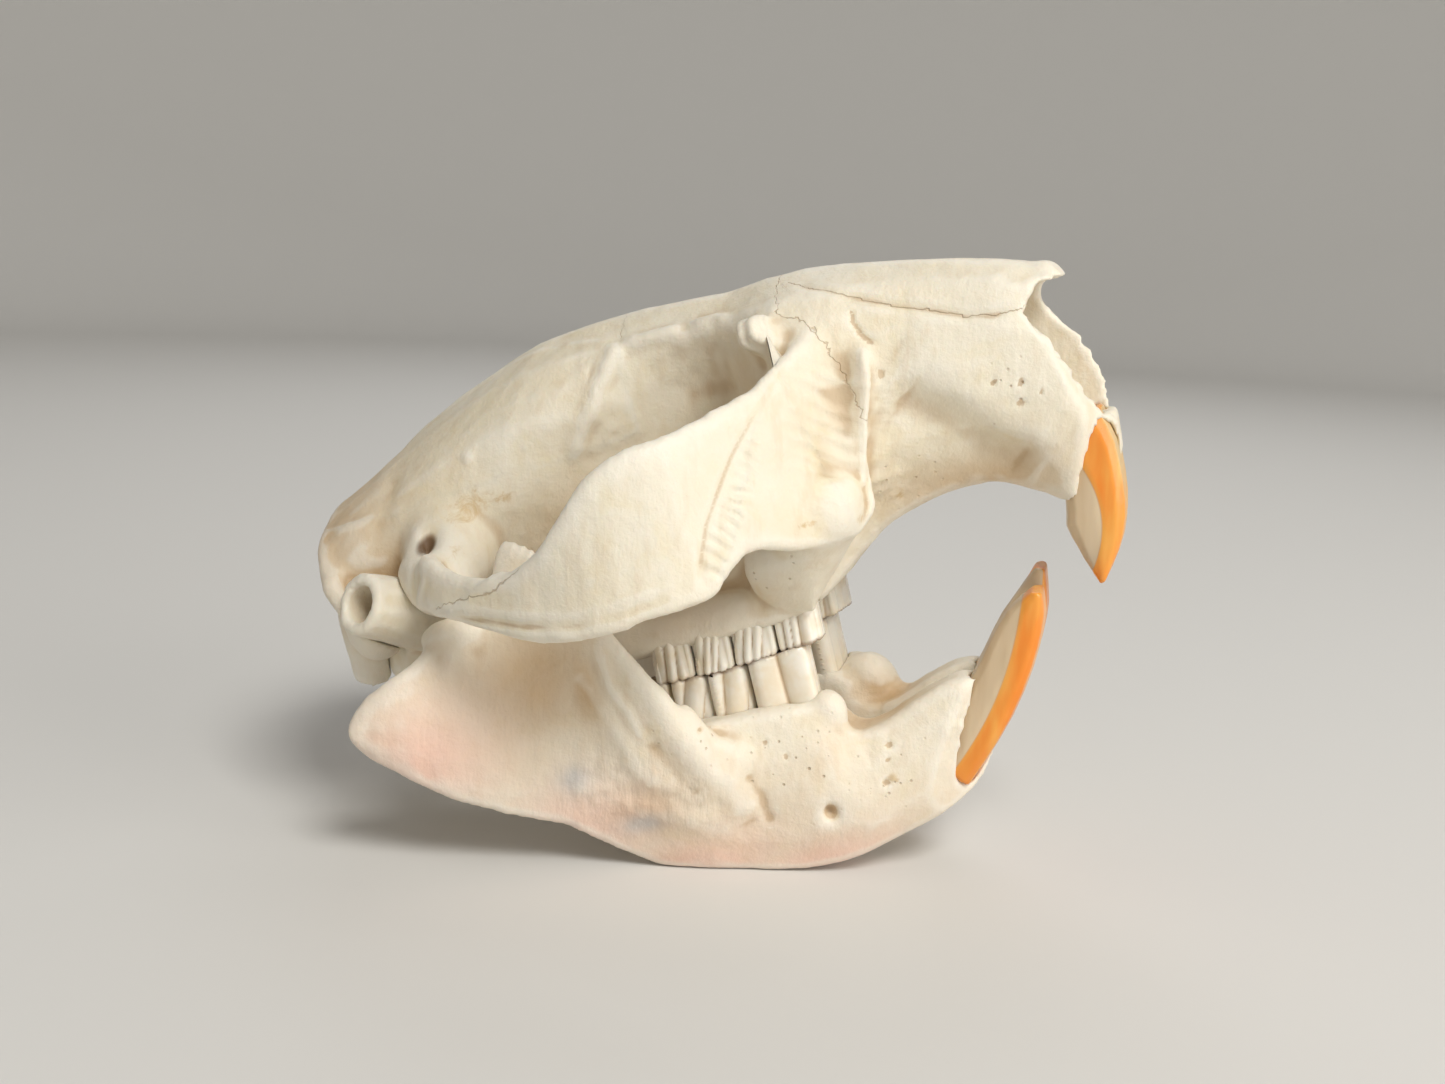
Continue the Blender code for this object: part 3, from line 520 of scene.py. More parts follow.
skullShape = {
    "ridges": [  # line, width and height
        ([(18.2, 17.4, 42.6), (17.8, 17.4, 37.0), (16.6, 17.6, 31.0), (15.0, 17.8, 25.0),
          (14.2, 18.2, 21.6)], 0.6, 0.7),
        ([(13.8, 18.6, 37.8), (12.2, 20.4, 33.0), (10.6, 22.6, 28.0), (10.0, 24.0, 23.4)], 3.4, -1.0),
        ([(20.0, 15.2, 34.5), (26.0, 13.0, 28.5), (32.0, 10.4, 22.5), (38.3, 8.6, 17.6)], 3.8, -1.2),
        ([(23.0, 15.0, 40.0), (30.0, 14.0, 33.0), (36.5, 12.6, 26.5), (41.5, 11.0, 20.5)], 3.6, 0.45),
        ([(-29.0, 17.9, 3.6), (-18.0, 17.3, 3.2), (-9.0, 16.4, 3.4), (-1.0, 15.2, 4.8)], 1.5, 0.4),
        ([(14.4, 17.5, 22.0), (15.0, 17.3, 18.7), (13.5, 18.1, 16.3), (11.7, 21.0, 15.6), (10.0, 23.6, 17.4),
          (10.2, 22.6, 20.6), (12.4, 20.3, 22.4), (14.4, 17.5, 22.0)], 0.75, 0.4),
        ([(9.0, 23.2, 42.6), (6.5, 27.2, 39.3), (3.8, 31.6, 35.5), (0.9, 35.8, 31.2), (-1.5, 38.9, 26.8),
          (-3.4, 41.2, 23.0), (-4.6, 42.6, 19.2), (-5.4, 43.6, 16.0)], 0.6, -0.22),
        ([(8.3, 9.6, 53.3), (12.2, 13.0, 51.4), (17.6, 14.1, 49.0), (23.0, 13.8, 46.5), (28.5, 13.5, 44.4),
          (33.2, 13.3, 42.4), (37.5, 12.8, 41.6), (42.3, 11.7, 41.7)], 0.8, -0.28),
        ([(-19.3, 11.0, 50.2), (-16.1, 11.2, 49.8), (-12.0, 11.0, 50.0), (-7.9, 10.8, 50.3),
          (-3.8, 11.0, 50.3), (-0.5, 13.4, 49.5)], 1.1, 0.7),
        ([(-20.1, 10.9, 50.5), (-20.7, 12.4, 48.6), (-22.2, 13.7, 46.0), (-23.9, 14.8, 43.3),
          (-25.5, 15.8, 40.6), (-28.0, 16.0, 37.2), (-30.2, 16.0, 33.7)], 1.3, 0.7),
        ([(-20.1, 10.5, 50.6), (-30.0, 8.5, 53.2), (-40.0, 6.5, 51.8), (-52.0, 5.0, 47.0),
          (-64.0, 4.0, 41.0), (-73.0, 3.0, 36.5)], 1.0, 0.45),
        ([(-46.6, 34.8, 25.2), (-47.2, 37.6, 22.6), (-49.7, 37.2, 20.2), (-52.0, 33.0, 18.0)], 1.2, 0.5),
        ([(-9.0, 45.8, 14.8), (-15.0, 47.4, 14.2), (-22.0, 47.8, 13.8), (-30.0, 46.9, 14.8),
          (-38.0, 44.4, 16.6), (-45.0, 41.0, 18.4)], 0.7, -0.5),
        ([(-9.0, 45.8, 16.6), (-15.0, 47.4, 16.0), (-22.0, 47.8, 15.6), (-30.0, 46.9, 16.6),
          (-38.0, 44.4, 18.2)], 0.7, 0.22),
        ([(-69.1, 26.6, 25.5), (-68.0, 27.2, 22.0), (-66.5, 27.6, 18.0)], 0.7, 0.5),
        ([(-71.5, 20.5, 31.0), (-70.0, 22.5, 26.0), (-68.0, 23.5, 21.0)], 0.9, -0.6),
        ([(-58.7, 15.5, 38.7), (-61.1, 21.5, 31.9), (-62.0, 25.0, 26.3)], 2.0, -0.5),
        ([(17.5, 15.0, 47.3), (17.5, 15.7, 45.2), (18.4, 15.9, 43.1), (19.9, 15.8, 41.3)], 0.35, -0.35),
    ],
    "spots": [  # centre, radii and height
        ((-44.9, 19.6, 38.3), (0.9, 1.2, 0.9), 0.6),
        ((-8.8, 10.9, 50.1), (1.5, 1.5, 0.8), -0.8),
        ((2.4, 19.2, 42.0), (1.6, 2.2, 1.8), -1.6),
        ((-40.0, 43.4, 18.5), (5.0, 3.0, 1.4), 0.35),
        ((35.1, 13.2, 32.2), (0.32, 1.6, 0.32), -0.6),
        ((39.0, 12.6, 31.4), (0.34, 1.6, 0.34), -0.7),
        ((38.3, 12.1, 28.4), (0.34, 1.6, 0.34), -0.6),
        ((41.7, 12.0, 29.5), (0.3, 1.6, 0.3), -0.4),
        ((19.9, 15.7, 36.9), (0.34, 1.6, 0.34), -0.6),
        ((-36.0, 31.0, 20.5), (4.5, 4.0, 2.0), -1.0),
    ],
    "holes": [((-51.2, 28.4, 27.2), (1.9, 6.0, 2.1), -3.2), ((12.2, 20.0, 19.2), (2.0, 2.6, 2.4), -0.8)],
    "seams": [  # line, and how far it wanders
        ([(8.0, 9.6, 53.3), (12.2, 13.0, 51.4), (17.6, 14.1, 49.0), (23.0, 13.8, 46.5), (28.5, 13.5, 44.4),
          (33.2, 13.3, 42.4), (37.5, 12.8, 41.6), (42.3, 11.7, 41.7)], 0.7),
        ([(6.5, 6.0, 54.0), (6.3, 11.9, 52.2), (7.3, 16.7, 48.9), (8.4, 17.3, 47.8), (11.1, 17.3, 46.9),
          (12.5, 18.2, 44.3), (13.8, 17.6, 41.3), (14.7, 17.1, 38.8), (15.3, 17.6, 35.8), (16.0, 17.9, 33.4),
          (16.4, 17.3, 30.0)], 3.4),
        ([(6.5, 0.0, 54.8), (6.5, 6.0, 54.0)], 2.6),
        ([(6.5, 0.0, 54.8), (20.0, 0.0, 53.6), (34.0, 0.0, 50.6), (47.0, 0.0, 46.4)], 0.5),
        ([(-45.6, 40.6, 18.9), (-41.6, 42.7, 19.6), (-37.6, 44.4, 20.1), (-33.8, 45.8, 20.6),
          (-31.2, 46.5, 21.9), (-29.4, 46.9, 23.4)], 1.5),
        ([(-19.5, 0.0, 54.0), (-19.5, 10.5, 50.6)], 2.6),
        ([(-21.0, 0.0, 54.0), (-40.0, 0.0, 51.8), (-62.0, 0.0, 41.5), (-74.0, 0.0, 35.0)], 1.4),
    ],
    "stain": [((-45.0, 22.0, 31.0), (4.0, 5.0, 4.0)), ((-47.5, 27.0, 25.0), (2.2, 5.0, 2.0)),
              ((-41.0, 19.4, 31.2), (2.6, 3.0, 1.4)), ((7.0, 28.0, 19.0), (1.7, 2.5, 0.6)),
              ((17.4, 8.0, 18.0), (1.1, 3.0, 1.8)), ((12.6, 20.4, 17.4), (1.6, 2.0, 1.0))],
    # painted shade: broad browner zones where shade falls on the skull
    "tan": [((-72.0, 14.0, 30.0), (15.0, 24.0, 12.0)), ((-60.0, 22.0, 22.0), (9.0, 8.0, 8.0)),
            ((-18.0, 17.0, 9.0), (13.0, 6.0, 6.0)), ((-4.0, 16.0, 34.0), (8.0, 6.0, 13.0)),
            ((-28.0, 13.0, 18.0), (12.0, 7.0, 12.0)), ((30.0, 8.0, 17.0), (14.0, 8.0, 5.0))],
    # painted shade: near-black inside the ear opening, a pit by the orbit and the opening at the back
    "paintedHoleShade": [((-51.3, 28.0, 27.2), (1.9, 4.0, 2.1)), ((2.4, 19.2, 42.0), (1.4, 2.0, 1.6)),
             ((-75.0, 0.0, 22.0), (4.0, 6.0, 5.0))],
    "pores": [((38.0, 12.0, 30.0), (6.0, 4.0, 4.0)), ((-1.5, 22.0, 12.0), (5.0, 5.0, 4.0)),
              ((20.0, 15.0, 20.0), (5.0, 8.0, 4.0))],
    "rough": [((-24.0, 14.6, 42.0), (3.0, 3.0, 8.0)), ((16.0, 10.0, 20.0), (3.0, 5.0, 3.0))],
    "soften": [((8.0, 25.0, 31.0), (7.0, 8.0, 13.0)), ((4.0, 21.0, 44.5), (4.0, 4.0, 4.0)),
               ((-49.5, 23.0, 29.0), (10.0, 10.0, 9.0)), ((2.0, 17.0, 12.0), (8.0, 7.0, 8.0))],
    "waves": [  # spots, direction across the wrinkles, spacing and height
        ([((10.6, 22.0, 31.0), (4.4, 5.5, 8.5))], (0.45, -0.25, 0.86), 2.1, 0.42),
        ([((4.4, 20.4, 47.4), (3.6, 3.4, 3.4))], (0.75, 0.55, 0.35), 1.8, 0.5),
        ([((19.0, 15.2, 34.0), (2.6, 3.0, 5.0))], (0.5, 0.0, 0.87), 1.6, 0.16),
    ],
}


def serrations(skin, line, width, spacing, height):  # small ribs across a strip
    distance, side, along, inside = skin.near(line)
    length = sum(math.dist(a, b) for a, b in zip(line, line[1:]))
    ripple = np.sin(along * length / spacing * 2.0 * math.pi + lumps(skin.folded, 3.0, 11) * 2.6)
    uneven = np.clip(0.6 + 0.6 * lumps(skin.folded, 2.4, 13), 0.0, 1.2)
    uneven = uneven * np.clip(along * 4.0 - 1.0, 0.08, 1.0)  # fainter towards the top
    skin.push(height * ripple * uneven * np.exp(-(distance / width) ** 4))


def wrinkles(skin, spots, size, height, seed):  # uneven bumps
    field = lumps(skin.folded * (0.55, 0.55, 1.25), size, seed)
    field = field + 0.6 * lumps(skin.folded, size * 0.55, seed + 1)
    skin.push(height * field * skin.zone(spots))


slope = {  # of the bone in front of the cheek teeth: where it starts, and how much of it is kept at the foot
    "foot": 5.0, "front": 2.0, "side": 15.0, "keptLength": (0.12, 0.085), "keptWidth": (0.25, 0.09),
    "from": (-9.0, 4.0), "beside": (8.0, 3.0), "soften": [((4.0, 17.0, 11.0), (9.0, 7.0, 7.0))], "steps": 30,
}


def fading(values, start, length):  # 0 up to start, and 1 from length further on
    return np.clip((values - start) / length, 0.0, 1.0)


def cheekBase(skin):  # slopes the bone in front of the cheek teeth back to the first tooth
    x, y, z = skin.points.T
    side = np.abs(y)
    here = fading(x, *slope["from"]) * fading(side, *slope["beside"])
    kept = {}
    for name in ("keptLength", "keptWidth"):
        least, gain = slope[name]
        kept[name] = np.clip(least + gain * (z - slope["foot"]), least, 1.0)
    ahead = np.clip(x - slope["front"], 0.0, None)
    outside = np.clip(side - slope["side"], 0.0, None)
    skin.points[:, 0] -= here * ahead * (1.0 - kept["keptLength"])
    skin.points[:, 1] -= here * np.sign(y) * outside * (1.0 - kept["keptWidth"])
    skin.write()
    skin.soften(slope["soften"], slope["steps"])


margin = {
    "at": 46.8, "lean": 0.45, "level": 36.0, "top": 43.5, "foot": 22.0,
    "right": 3.6, "left": 0.6, "reach": 12.0,
}


def brokenMargin(skin):  # the thin ragged front margin of the nasal opening, further back on the right
    x, y, z = skin.points.T
    edge = margin["at"] + margin["lean"] * (margin["level"] - z)
    below = np.clip((margin["top"] - z) / 2.5, 0.0, 1.0) * fading(z, margin["foot"], 5.0)
    nearEdge = np.clip((x - edge + 11.0) / margin["reach"], 0.0, 1.0) ** 2
    back = nearEdge * below * np.where(y < -2.0, margin["right"], margin["left"])
    ragged = np.clip((x - edge + 2.0) / 3.0, 0.0, 1.0) * below
    teeth = 0.5 + 0.9 * lumps(skin.points, 3.0, 21) + 0.6 * lumps(skin.points, 1.3, 22)
    skin.points[:, 0] -= back + ragged * teeth


whole, solidTrees = joinedSkull()
skin = Skin(whole)
skin.smooth(skull["smoothing"])
cheekBase(skin)
for line, width, height in skullShape["ridges"]:
    skin.ridge(line, width, height)
for centre, radii, height in skullShape["spots"]:
    skin.spot(centre, radii, height)
skin.write()
skin.soften(skullShape["soften"], 70)
for centre, radii, height in skullShape["holes"]:
    skin.spot(centre, radii, height)
skin.write()
# crease measure, painted as dirt and shade in hollows and as a highlight on ridges
skin.paint["hollow"] = skin.creases()
stripLine = [(8.0, 25.0, 40.6), (5.6, 28.8, 37.6), (3.8, 31.6, 33.5), (2.0, 34.4, 29.0), (0.2, 37.0, 24.6),
             (-2.0, 39.8, 20.8), (-4.6, 42.4, 16.6)]
serrations(skin, stripLine, 2.0, 1.7, 0.46)
wrinkles(skin, skullShape["rough"], 2.2, 0.36, 31)
for seed, (spots, direction, spacing, height) in enumerate(skullShape["waves"]):
    skin.waves(spots, direction, spacing, height, 71 + 5 * seed)
brokenMargin(skin)
skin.push(0.10 * lumps(skin.points, 4.5, 41) + 0.05 * lumps(skin.points, 1.8, 42))
skin.write()
skin.seams(skullShape["seams"])
for name in ("stain", "pores", "rough", "tan", "paintedHoleShade"):
    skin.paint[name] = skin.zone(skullShape[name])
skin.finish()
print("skull shaped", len(whole.data.polygons), "faces")
for name, piece in partedSkull(whole, solidTrees).items():
    settle(piece, [name], bone)
    print(piece.name, len(piece.data.polygons))


# Ear capsules

earCapsule = {"voxel": 0.4, "smoothing": 14, "swell": 0.22}
for side in "LR":
    piece = copyOf("ear_bulla_" + side, "earCapsule" + side)
    remeshed(piece, earCapsule["voxel"])
    skin = Skin(piece)
    skin.smooth(earCapsule["smoothing"])
    skin.push(np.full(skin.count, earCapsule["swell"]) + 0.12 * lumps(skin.points, 3.0, 51))
    skin.write()
    skin.paint["hollow"] = skin.creases()
    skin.finish()
    settle(piece, ["ear_bulla_" + side], bone)
print("ear capsules shaped")


# Lower jaw

jawShape = {
    "voxel": 0.5, "smoothing": 26,
    "ridges": [
        ([(-21.1, 28.6, 2.0), (-20.2, 28.6, -3.1), (-19.3, 27.9, -7.0), (-18.0, 26.7, -10.2),
          (-17.0, 25.3, -13.9), (-15.3, 23.2, -18.0), (-13.9, 21.6, -22.1),
          (-13.6, 20.6, -25.0)], 2.4, 0.8),
        ([(-14.6, 20.6, -25.8), (-18.9, 23.0, -24.2), (-22.9, 24.8, -21.6), (-28.0, 26.0, -19.2),
          (-34.0, 27.0, -15.0), (-40.0, 29.0, -10.0)], 2.0, 0.35),
        ([(-33.6, 30.2, 6.6), (-30.2, 29.7, 1.2), (-28.5, 29.1, -3.9), (-27.4, 28.4, -8.2),
          (-26.4, 27.4, -12.6), (-23.0, 25.8, -17.5)], 2.2, 0.45),
        ([(-27.4, 30.2, 8.5), (-26.8, 29.8, 0.7), (-25.3, 29.3, -2.9), (-24.1, 28.5, -9.0)], 0.9, 0.35),
        ([(-23.5, 28.4, -8.0), (-21.5, 26.0, -14.0), (-19.0, 24.0, -19.0)], 1.6, -0.35),
        ([(-10.6, 19.2, -26.5), (-11.2, 19.8, -21.0), (-12.6, 21.0, -17.0)], 1.0, -0.55),
    ],
    "spots": [
        ((-1.6, 17.7, -26.4), (0.95, 1.6, 1.15), -2.0),
        ((-4.0, 17.6, -22.0), (7.0, 4.0, 6.0), 0.35),
        ((-8.9, 19.1, -13.5), (0.3, 1.2, 0.3), -0.5),
        ((-6.2, 18.9, -16.3), (0.3, 1.2, 0.3), -0.5),
        ((8.4, 12.8, -18.6), (0.4, 1.2, 0.4), -0.6),
        ((7.9, 13.5, -20.7), (0.3, 1.2, 0.3), -0.4),
        ((7.1, 14.3, -24.0), (0.45, 1.2, 0.4), -0.7),
        ((-16.5, 25.3, -8.5), (0.4, 1.2, 0.4), -0.4),
    ],
    "pores": [((-5.0, 18.5, -17.5), (8.5, 5.0, 6.5)), ((-18.0, 25.0, -8.0), (6.0, 4.0, 5.0)),
              ((8.0, 13.0, -21.0), (5.0, 4.0, 6.0))],
    "rough": [((-30.0, 27.5, -15.0), (9.0, 6.0, 7.0)), ((-21.0, 25.0, -19.0), (6.0, 5.0, 5.0)),
              ((19.5, 8.0, -20.0), (2.5, 4.0, 6.0))],
    "tip": [((-36.0, 29.0, 25.0), (5.0, 4.0, 4.5))],
    # painted reflection: pink light reflected along the jaw's lower border and angle
    "paintedPinkReflection": [((-58.0, 36.0, -4.0), (13.0, 9.0, 10.0)), ((-40.0, 27.0, -21.0), (14.0, 9.0, 9.0)),
              ((-24.0, 18.0, -31.0), (14.0, 12.0, 6.5)), ((-5.0, 12.0, -34.5), (12.0, 12.0, 5.0))],
    "grey": [((-36.5, 28.8, -12.0), (2.6, 3.0, 2.2)), ((-29.0, 25.5, -21.5), (3.4, 3.0, 1.8))],
    "stain": [((8.0, 13.5, -23.5), (1.2, 2.0, 1.2))],
    # painted shade: browner zones where shade falls on the jaw
    "tan": [((-38.0, 30.0, 5.0), (11.0, 8.0, 9.0)), ((-31.0, 30.0, 2.0), (3.0, 3.0, 8.0)),
            ((6.0, 5.0, -14.0), (8.0, 6.0, 4.0)), ((-28.0, 27.0, -20.0), (6.0, 4.0, 4.0))],
    # painted shade: near-black inside a pit on the jaw's side
    "paintedHoleShade": [((-1.6, 17.9, -26.4), (0.9, 1.6, 1.1))],
}
for side in "LR":
    piece = copyOf("mandible_" + side, "jawHalf" + side)
    remeshed(piece, jawShape["voxel"])
    skin = Skin(piece)
    skin.smooth(jawShape["smoothing"])
    for line, width, height in jawShape["ridges"]:
        skin.ridge(line, width, height)
    for centre, radii, height in jawShape["spots"]:
        skin.spot(centre, radii, height)
    skin.write()
    skin.paint["hollow"] = skin.creases()
    wrinkles(skin, jawShape["rough"], 2.6, 0.26, 61)
    wrinkles(skin, jawShape["rough"], 1.3, 0.10, 64)
    skin.waves(jawShape["tip"], (0.8, 0.0, -0.6), 1.4, 0.14, 67)
    skin.push(0.10 * lumps(skin.points, 4.5, 43) + 0.05 * lumps(skin.points, 1.6, 44))
    flat = toScene(skin.points)
    flat[:, 2] = np.maximum(flat[:, 2], 0.0)
    skin.points = toSkull(flat)
    skin.write()
    for name in ("pores", "rough", "paintedPinkReflection", "grey", "stain", "tan", "paintedHoleShade"):
        skin.paint[name] = skin.zone(jawShape[name])
    skin.finish()
    settle(piece, ["mandible_" + side], jawBone)
    print(piece.name, len(piece.data.polygons))


# Incisors: orange enamel on the front, pale dentine behind it

def incisorMaterial(look):
    recipe = Recipe("incisorTooth", look["roughness"])
    enamel = recipe.between(recipe.attribute("enamel"), -0.18, 0.14)
    length = recipe.noise(260.0, 3.0, 0.5, ((1.0, 1.0, 0.18), (0.0, 0.15, 0.0)))
    fine = recipe.noise(900.0, 3.0, 0.6)
    root = recipe.attribute("root")
    orange = recipe.mix(recipe.between(length, 0.35, 0.66), look["orange"], look["amber"])
    orange = recipe.mix(root * 0.6, orange, look["deep"])
    nearDentine = recipe.between(recipe.attribute("enamel") * -1.0, -0.9, -0.05)
    orange = recipe.mix(nearDentine * 0.45, orange, look["amber"])
    orange = recipe.mix(recipe.attribute("stripe") * 0.85, orange, look["stripe"])
    dentine = recipe.mix(recipe.between(length, 0.4, 0.7), look["dentine"], look["tan"])
    dentine = recipe.mix(recipe.attribute("worn") * 0.6, dentine, look["worn"])
    colour = recipe.mix(enamel, dentine, orange)
    recipe.feed("Base Color", colour)
    recipe.feed("Roughness", look["roughness"] + 0.2 - enamel * 0.16 + fine * 0.05)
    recipe.feed("Normal", recipe.bump(enamel * 0.35 + length * 0.25 + fine * 0.05, 0.3, 0.0006))
    recipe.shader.inputs["Subsurface Weight"].default_value = 0.15
    recipe.shader.inputs["Subsurface Radius"].default_value = (1.0, 0.5, 0.25)
    recipe.shader.inputs["Subsurface Scale"].default_value = 0.0015
    recipe.shader.inputs["Coat Weight"].default_value = 0.25
    recipe.shader.inputs["Coat Roughness"].default_value = 0.18
    return recipe.material


incisorLook = {
    "orange": (0.87, 0.26, 0.018), "amber": (0.91, 0.45, 0.085), "deep": (0.80, 0.27, 0.03),
    "stripe": (0.80, 0.60, 0.30), "dentine": (0.72, 0.57, 0.385), "tan": (0.62, 0.465, 0.29),
    "worn": (0.46, 0.36, 0.27), "roughness": 0.22,
}
incisorTooth = incisorMaterial(incisorLook)
incisorShape = {
    "voxel": 0.26, "smoothing": 10, "swell": 0.16,
    "upper": {"line": [(44.7, 16.8), (45.9, 12.1), (46.0, 9.2), (44.6, 4.1), (43.2, 1.5)], "slope": 0.95,
              "root": (15.0, 1.0), "worn": ((42.3, 2.0), 2.4), "stripe": 9.0},
    "lower": {"line": [(16.7, -25.3), (20.9, -21.1), (24.9, -15.8), (27.9, -10.4), (30.6, -5.5), (32.4, 0.1)],
              "slope": 0.8, "root": (-19.0, -1.0), "worn": ((31.8, 0.6), 2.4), "stripe": 90.0},
}


def enamelDepth(points, line, slope, inward):  # mm in front of a smooth line along the tooth's side
    x, z = np.array(line).T
    curve = np.polyfit(z, x, 3)
    return (points[:, 0] - np.polyval(curve, points[:, 2])) * slope - inward


for jaw in ("upper", "lower"):
    for side in "LR":
        piece = copyOf(jaw + "_incisor_" + side, jaw + "Incisor" + side)
        remeshed(piece, incisorShape["voxel"])
        skin = Skin(piece)
        skin.smooth(incisorShape["smoothing"])
        skin.push(np.full(skin.count, incisorShape["swell"]))
        skin.write()
        shape = incisorShape[jaw]
        middle = np.clip(1.0 - (skin.folded[:, 1] - 0.3) / 2.6, 0.0, 1.0)
        depth = enamelDepth(skin.points, shape["line"], shape["slope"], 2.4 * middle ** 1.5)
        skin.push(0.10 * np.clip(depth / 0.5, 0.0, 1.0))
        skin.write()
        start, way = shape["root"]
        rise = (skin.points[:, 2] - start) * way
        centre, reach = shape["worn"]
        worn = np.exp(-(np.hypot(skin.points[:, 0] - centre[0], skin.points[:, 2] - centre[1]) / reach) ** 2)
        skin.finish()
        stripe = fading(skin.facing[:, 0], 0.70, 0.14) * fading(skin.points[:, 2], shape["stripe"], 7.0)
        skin.layer("enamel", depth)
        skin.layer("root", np.clip(rise / 5.0, 0.0, 1.0))
        skin.layer("worn", worn)
        skin.layer("stripe", stripe)
        settle(piece, [jaw + "_incisor_" + side], incisorTooth)
print("incisors shaped")


# Cheek teeth: columns of white enamel with brown folds between them

def cheekToothMaterial(look):
    recipe = Recipe("cheekTooth", look["roughness"])
    fold = recipe.between(recipe.attribute("fold") + recipe.noise(500.0, 2.0) * 0.25, 0.30, 1.0)
    chewing = recipe.attribute("chewing")
    cloud = recipe.noise(300.0, 3.0)
    colour = recipe.mix(recipe.between(cloud, 0.35, 0.7), look["white"], look["cream"])
    colour = recipe.mix(recipe.attribute("rootward") * 0.5, colour, look["cream"])
    colour = recipe.mix(fold * 0.7, colour, look["fold"])
    # painted shade: dark brown along the bite line between upper and lower teeth
    colour = recipe.mix(chewing * 0.8, colour, look["chewing"])
    recipe.feed("Base Color", colour)
    recipe.feed("Roughness", look["roughness"] + fold * 0.2)
    recipe.feed("Normal", recipe.bump(recipe.noise(800.0, 3.0), 0.08, 0.0004))
    recipe.shader.inputs["Subsurface Weight"].default_value = 0.18
    recipe.shader.inputs["Subsurface Radius"].default_value = (0.9, 0.6, 0.35)
    recipe.shader.inputs["Subsurface Scale"].default_value = 0.0015
    recipe.shader.inputs["Coat Weight"].default_value = 0.35
    recipe.shader.inputs["Coat Roughness"].default_value = 0.15
    return recipe.material


cheekTooth = cheekToothMaterial({
    "white": (0.88, 0.84, 0.75), "cream": (0.82, 0.72, 0.56), "fold": (0.56, 0.39, 0.22),
    "chewing": (0.24, 0.13, 0.07), "roughness": 0.24,
})
cheekShape = {
    "voxel": 0.24, "smoothing": 8, "base": -0.34, "bulge": 0.95, "swell": 0.20,
    # level of the chewing line, then each tooth's folds and how far they lean forward per mm upward
    "upper": {"level": [(-14.0, -2.2), (-6.0, -1.2), (3.4, 0.0)],
              "folds": {"P4": ((0.18, 0.36, 0.54), 0.06), "M1": ((0.20, 0.42, 0.64), 0.22),
                        "M2": ((0.20, 0.40, 0.58), 0.22), "M3": ((0.30, 0.58), 0.1)}},
    "lower": {"level": [(-14.0, -2.65), (-6.0, -1.65), (3.4, -0.45)],
              "folds": {"p4": ((0.50,), -0.04), "m1": ((0.42,), 0.16), "m2": ((0.42,), 0.30),
                        "m3": ((0.42,), 0.30)}},
}


def pillars(share, folds):  # round columns between the folds, and the darkness of the folds
    bulge = np.zeros(len(share))
    fold = np.zeros(len(share))
    limits = (-0.06, *folds, 1.06)
    for low, high in zip(limits, limits[1:]):
        across = (share - low) / (high - low) * 2.0 - 1.0
        inside = np.abs(across) <= 1.0
        rounded = np.clip(1.0 - across ** 2, 0.0, 1.0) ** 0.7
        bulge = np.where(inside, rounded * min(1.0, (high - low) * 3.2), bulge)
        fold = np.where(inside, np.abs(across) ** 6, fold)
    return bulge, fold


for jaw in ("upper", "lower"):
    shape = cheekShape[jaw]
    for name, (folds, lean) in shape["folds"].items():
        for side in "LR":
            node = jaw + "_" + name + "_" + side
            piece = copyOf(node, jaw + name + side)
            remeshed(piece, cheekShape["voxel"])
            skin = Skin(piece)
            skin.smooth(cheekShape["smoothing"])
            x, y, z = skin.folded.T
            rise = z - np.interp(x, *zip(*shape["level"]))
            low, high = x.min(), x.max()
            share = (x - lean * rise - low) / (high - low)
            bulge, fold = pillars(share, folds)
            outer = np.clip(np.abs(skin.facing[:, 1]) * 1.6 - 0.3, 0.0, 1.0)
            away = np.abs(rise)
            skin.push(outer * (cheekShape["base"] + cheekShape["bulge"] * bulge) + cheekShape["swell"])
            skin.finish()
            skin.layer("fold", fold * outer)
            # painted shade next to the chewing level of each tooth
            skin.layer("chewing", np.clip(1.0 - away / 0.28, 0.0, 1.0))
            skin.layer("rootward", fading(away, 3.0, 4.0))
            settle(piece, [node], cheekTooth)
print("cheek teeth shaped")


# Floor with a raised rim, and soft studio light

studio = {
    "floorRadius": 1.1, "floorLevel": -0.0002, "rimHeight": 1.0, "rimSteps": 8, "rimFlare": 0.05,
    "floorColour": (0.72, 0.71, 0.685), "sky": (1.0, 0.955, 0.90), "skyStrength": 0.17,
}

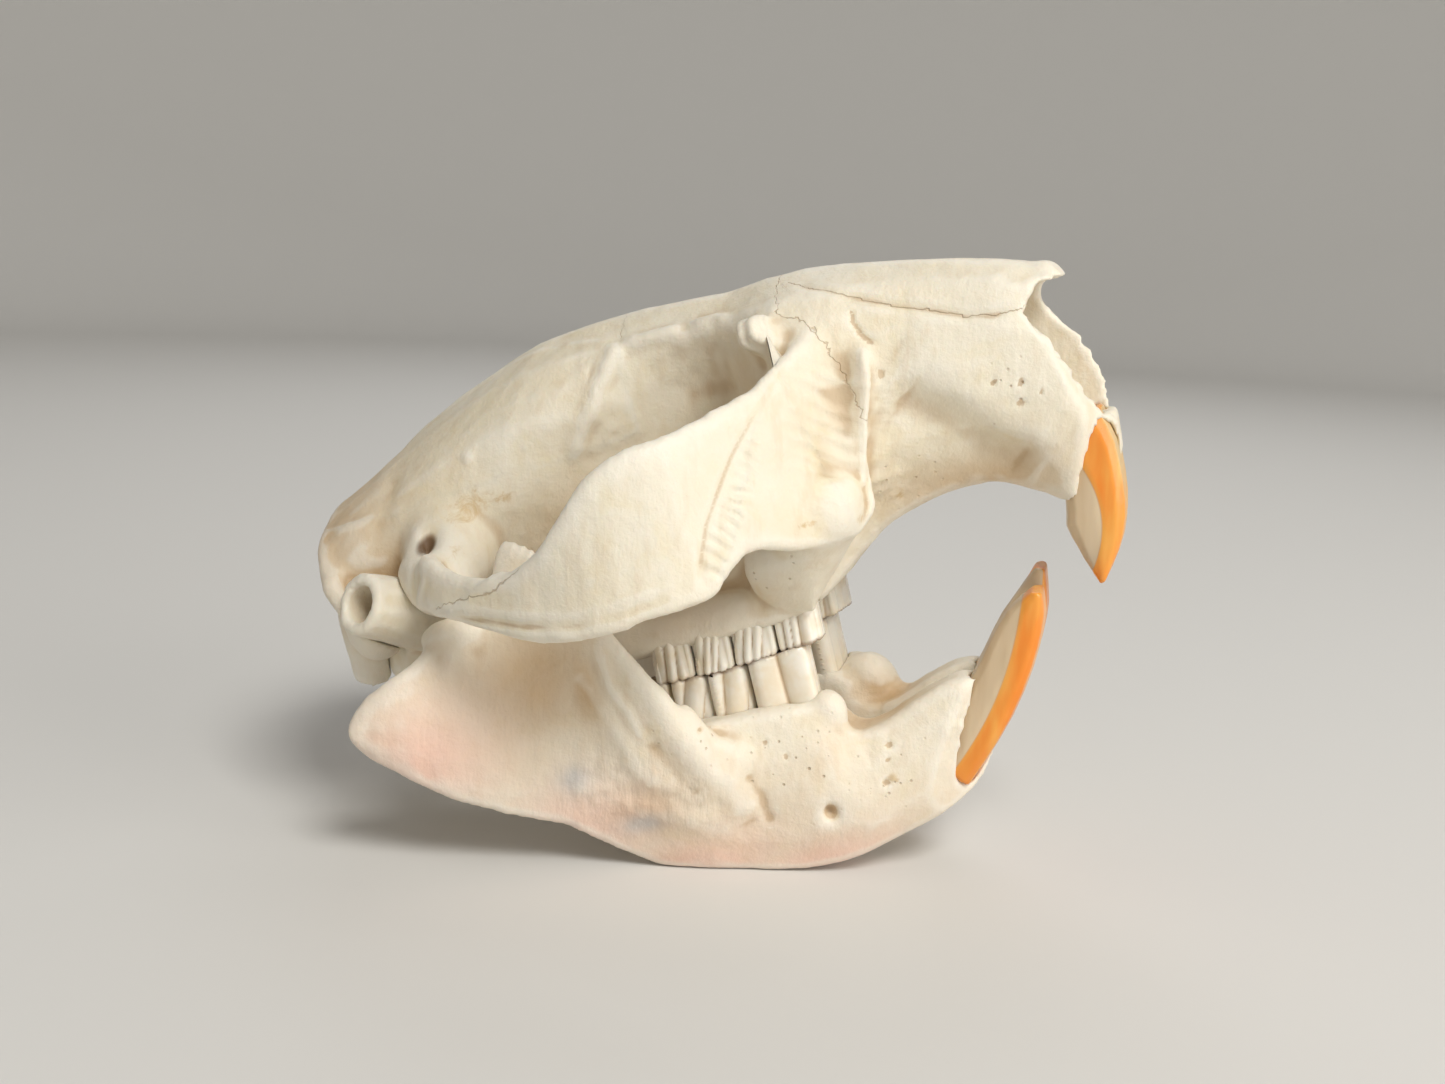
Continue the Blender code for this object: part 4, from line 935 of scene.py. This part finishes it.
bpy.ops.object.select_all(action="DESELECT")
bpy.ops.mesh.primitive_circle_add(vertices=96, radius=studio["floorRadius"], fill_type="NGON",
                                  location=(0.0, 0.0, studio["floorLevel"]))
floor = bpy.context.object
floor.name = "studioFloor"
bpy.ops.object.mode_set(mode="EDIT")
bpy.ops.mesh.select_all(action="SELECT")
for step in range(studio["rimSteps"]):  # the rim curves up all round
    angle = (step + 1) / studio["rimSteps"] * math.pi / 2.0
    grow = 1.0 + studio["rimFlare"] * math.cos(angle)
    lift = studio["rimHeight"] / studio["rimSteps"] * math.sin(angle)
    bpy.ops.mesh.extrude_region_move(TRANSFORM_OT_translate={"value": (0.0, 0.0, lift)})
    bpy.ops.transform.resize(value=(grow, grow, 1.0))
bpy.ops.mesh.delete(type="ONLY_FACE")
bpy.ops.mesh.select_all(action="DESELECT")
bpy.ops.object.mode_set(mode="OBJECT")
floor.data.shade_smooth()
bpy.ops.object.transform_apply(location=True, rotation=True, scale=True)
floorPaint = Recipe("studioPaper", 0.9)
floorPaint.shader.inputs["Base Color"].default_value = (*studio["floorColour"], 1.0)
floor.data.materials.append(floorPaint.material)

lamps = {
    "keyLamp": {"at": (0.57, -0.66, 1.02), "size": 0.46, "power": 11.2, "colour": (1.0, 0.985, 0.95)},
    "frontLamp": {"at": (0.60, -0.20, 0.25), "size": 0.4, "power": 1.35, "colour": (1.0, 0.965, 0.92)},
    "rearLamp": {"at": (-0.10, 0.60, 0.65), "size": 0.6, "power": 1.4, "colour": (0.97, 0.98, 1.0)},
}
lampsAim = Vector((0.0, 0.0, 0.05))
for name, lamp in lamps.items():
    light = bpy.data.lights.new(name, "AREA")
    light.energy = lamp["power"]
    light.size = lamp["size"]
    light.color = lamp["colour"]
    holder = bpy.data.objects.new(name, light)
    holder.location = lamp["at"]
    aim = lampsAim - Vector(lamp["at"])
    holder.rotation_euler = aim.to_track_quat("-Z", "Y").to_euler()
    bpy.context.scene.collection.objects.link(holder)
sky = bpy.data.worlds.new("studioSky")
sky.use_nodes = True
sky.node_tree.nodes["Background"].inputs["Color"].default_value = (*studio["sky"], 1.0)
sky.node_tree.nodes["Background"].inputs["Strength"].default_value = studio["skyStrength"]
bpy.context.scene.world = sky
print("studio set")
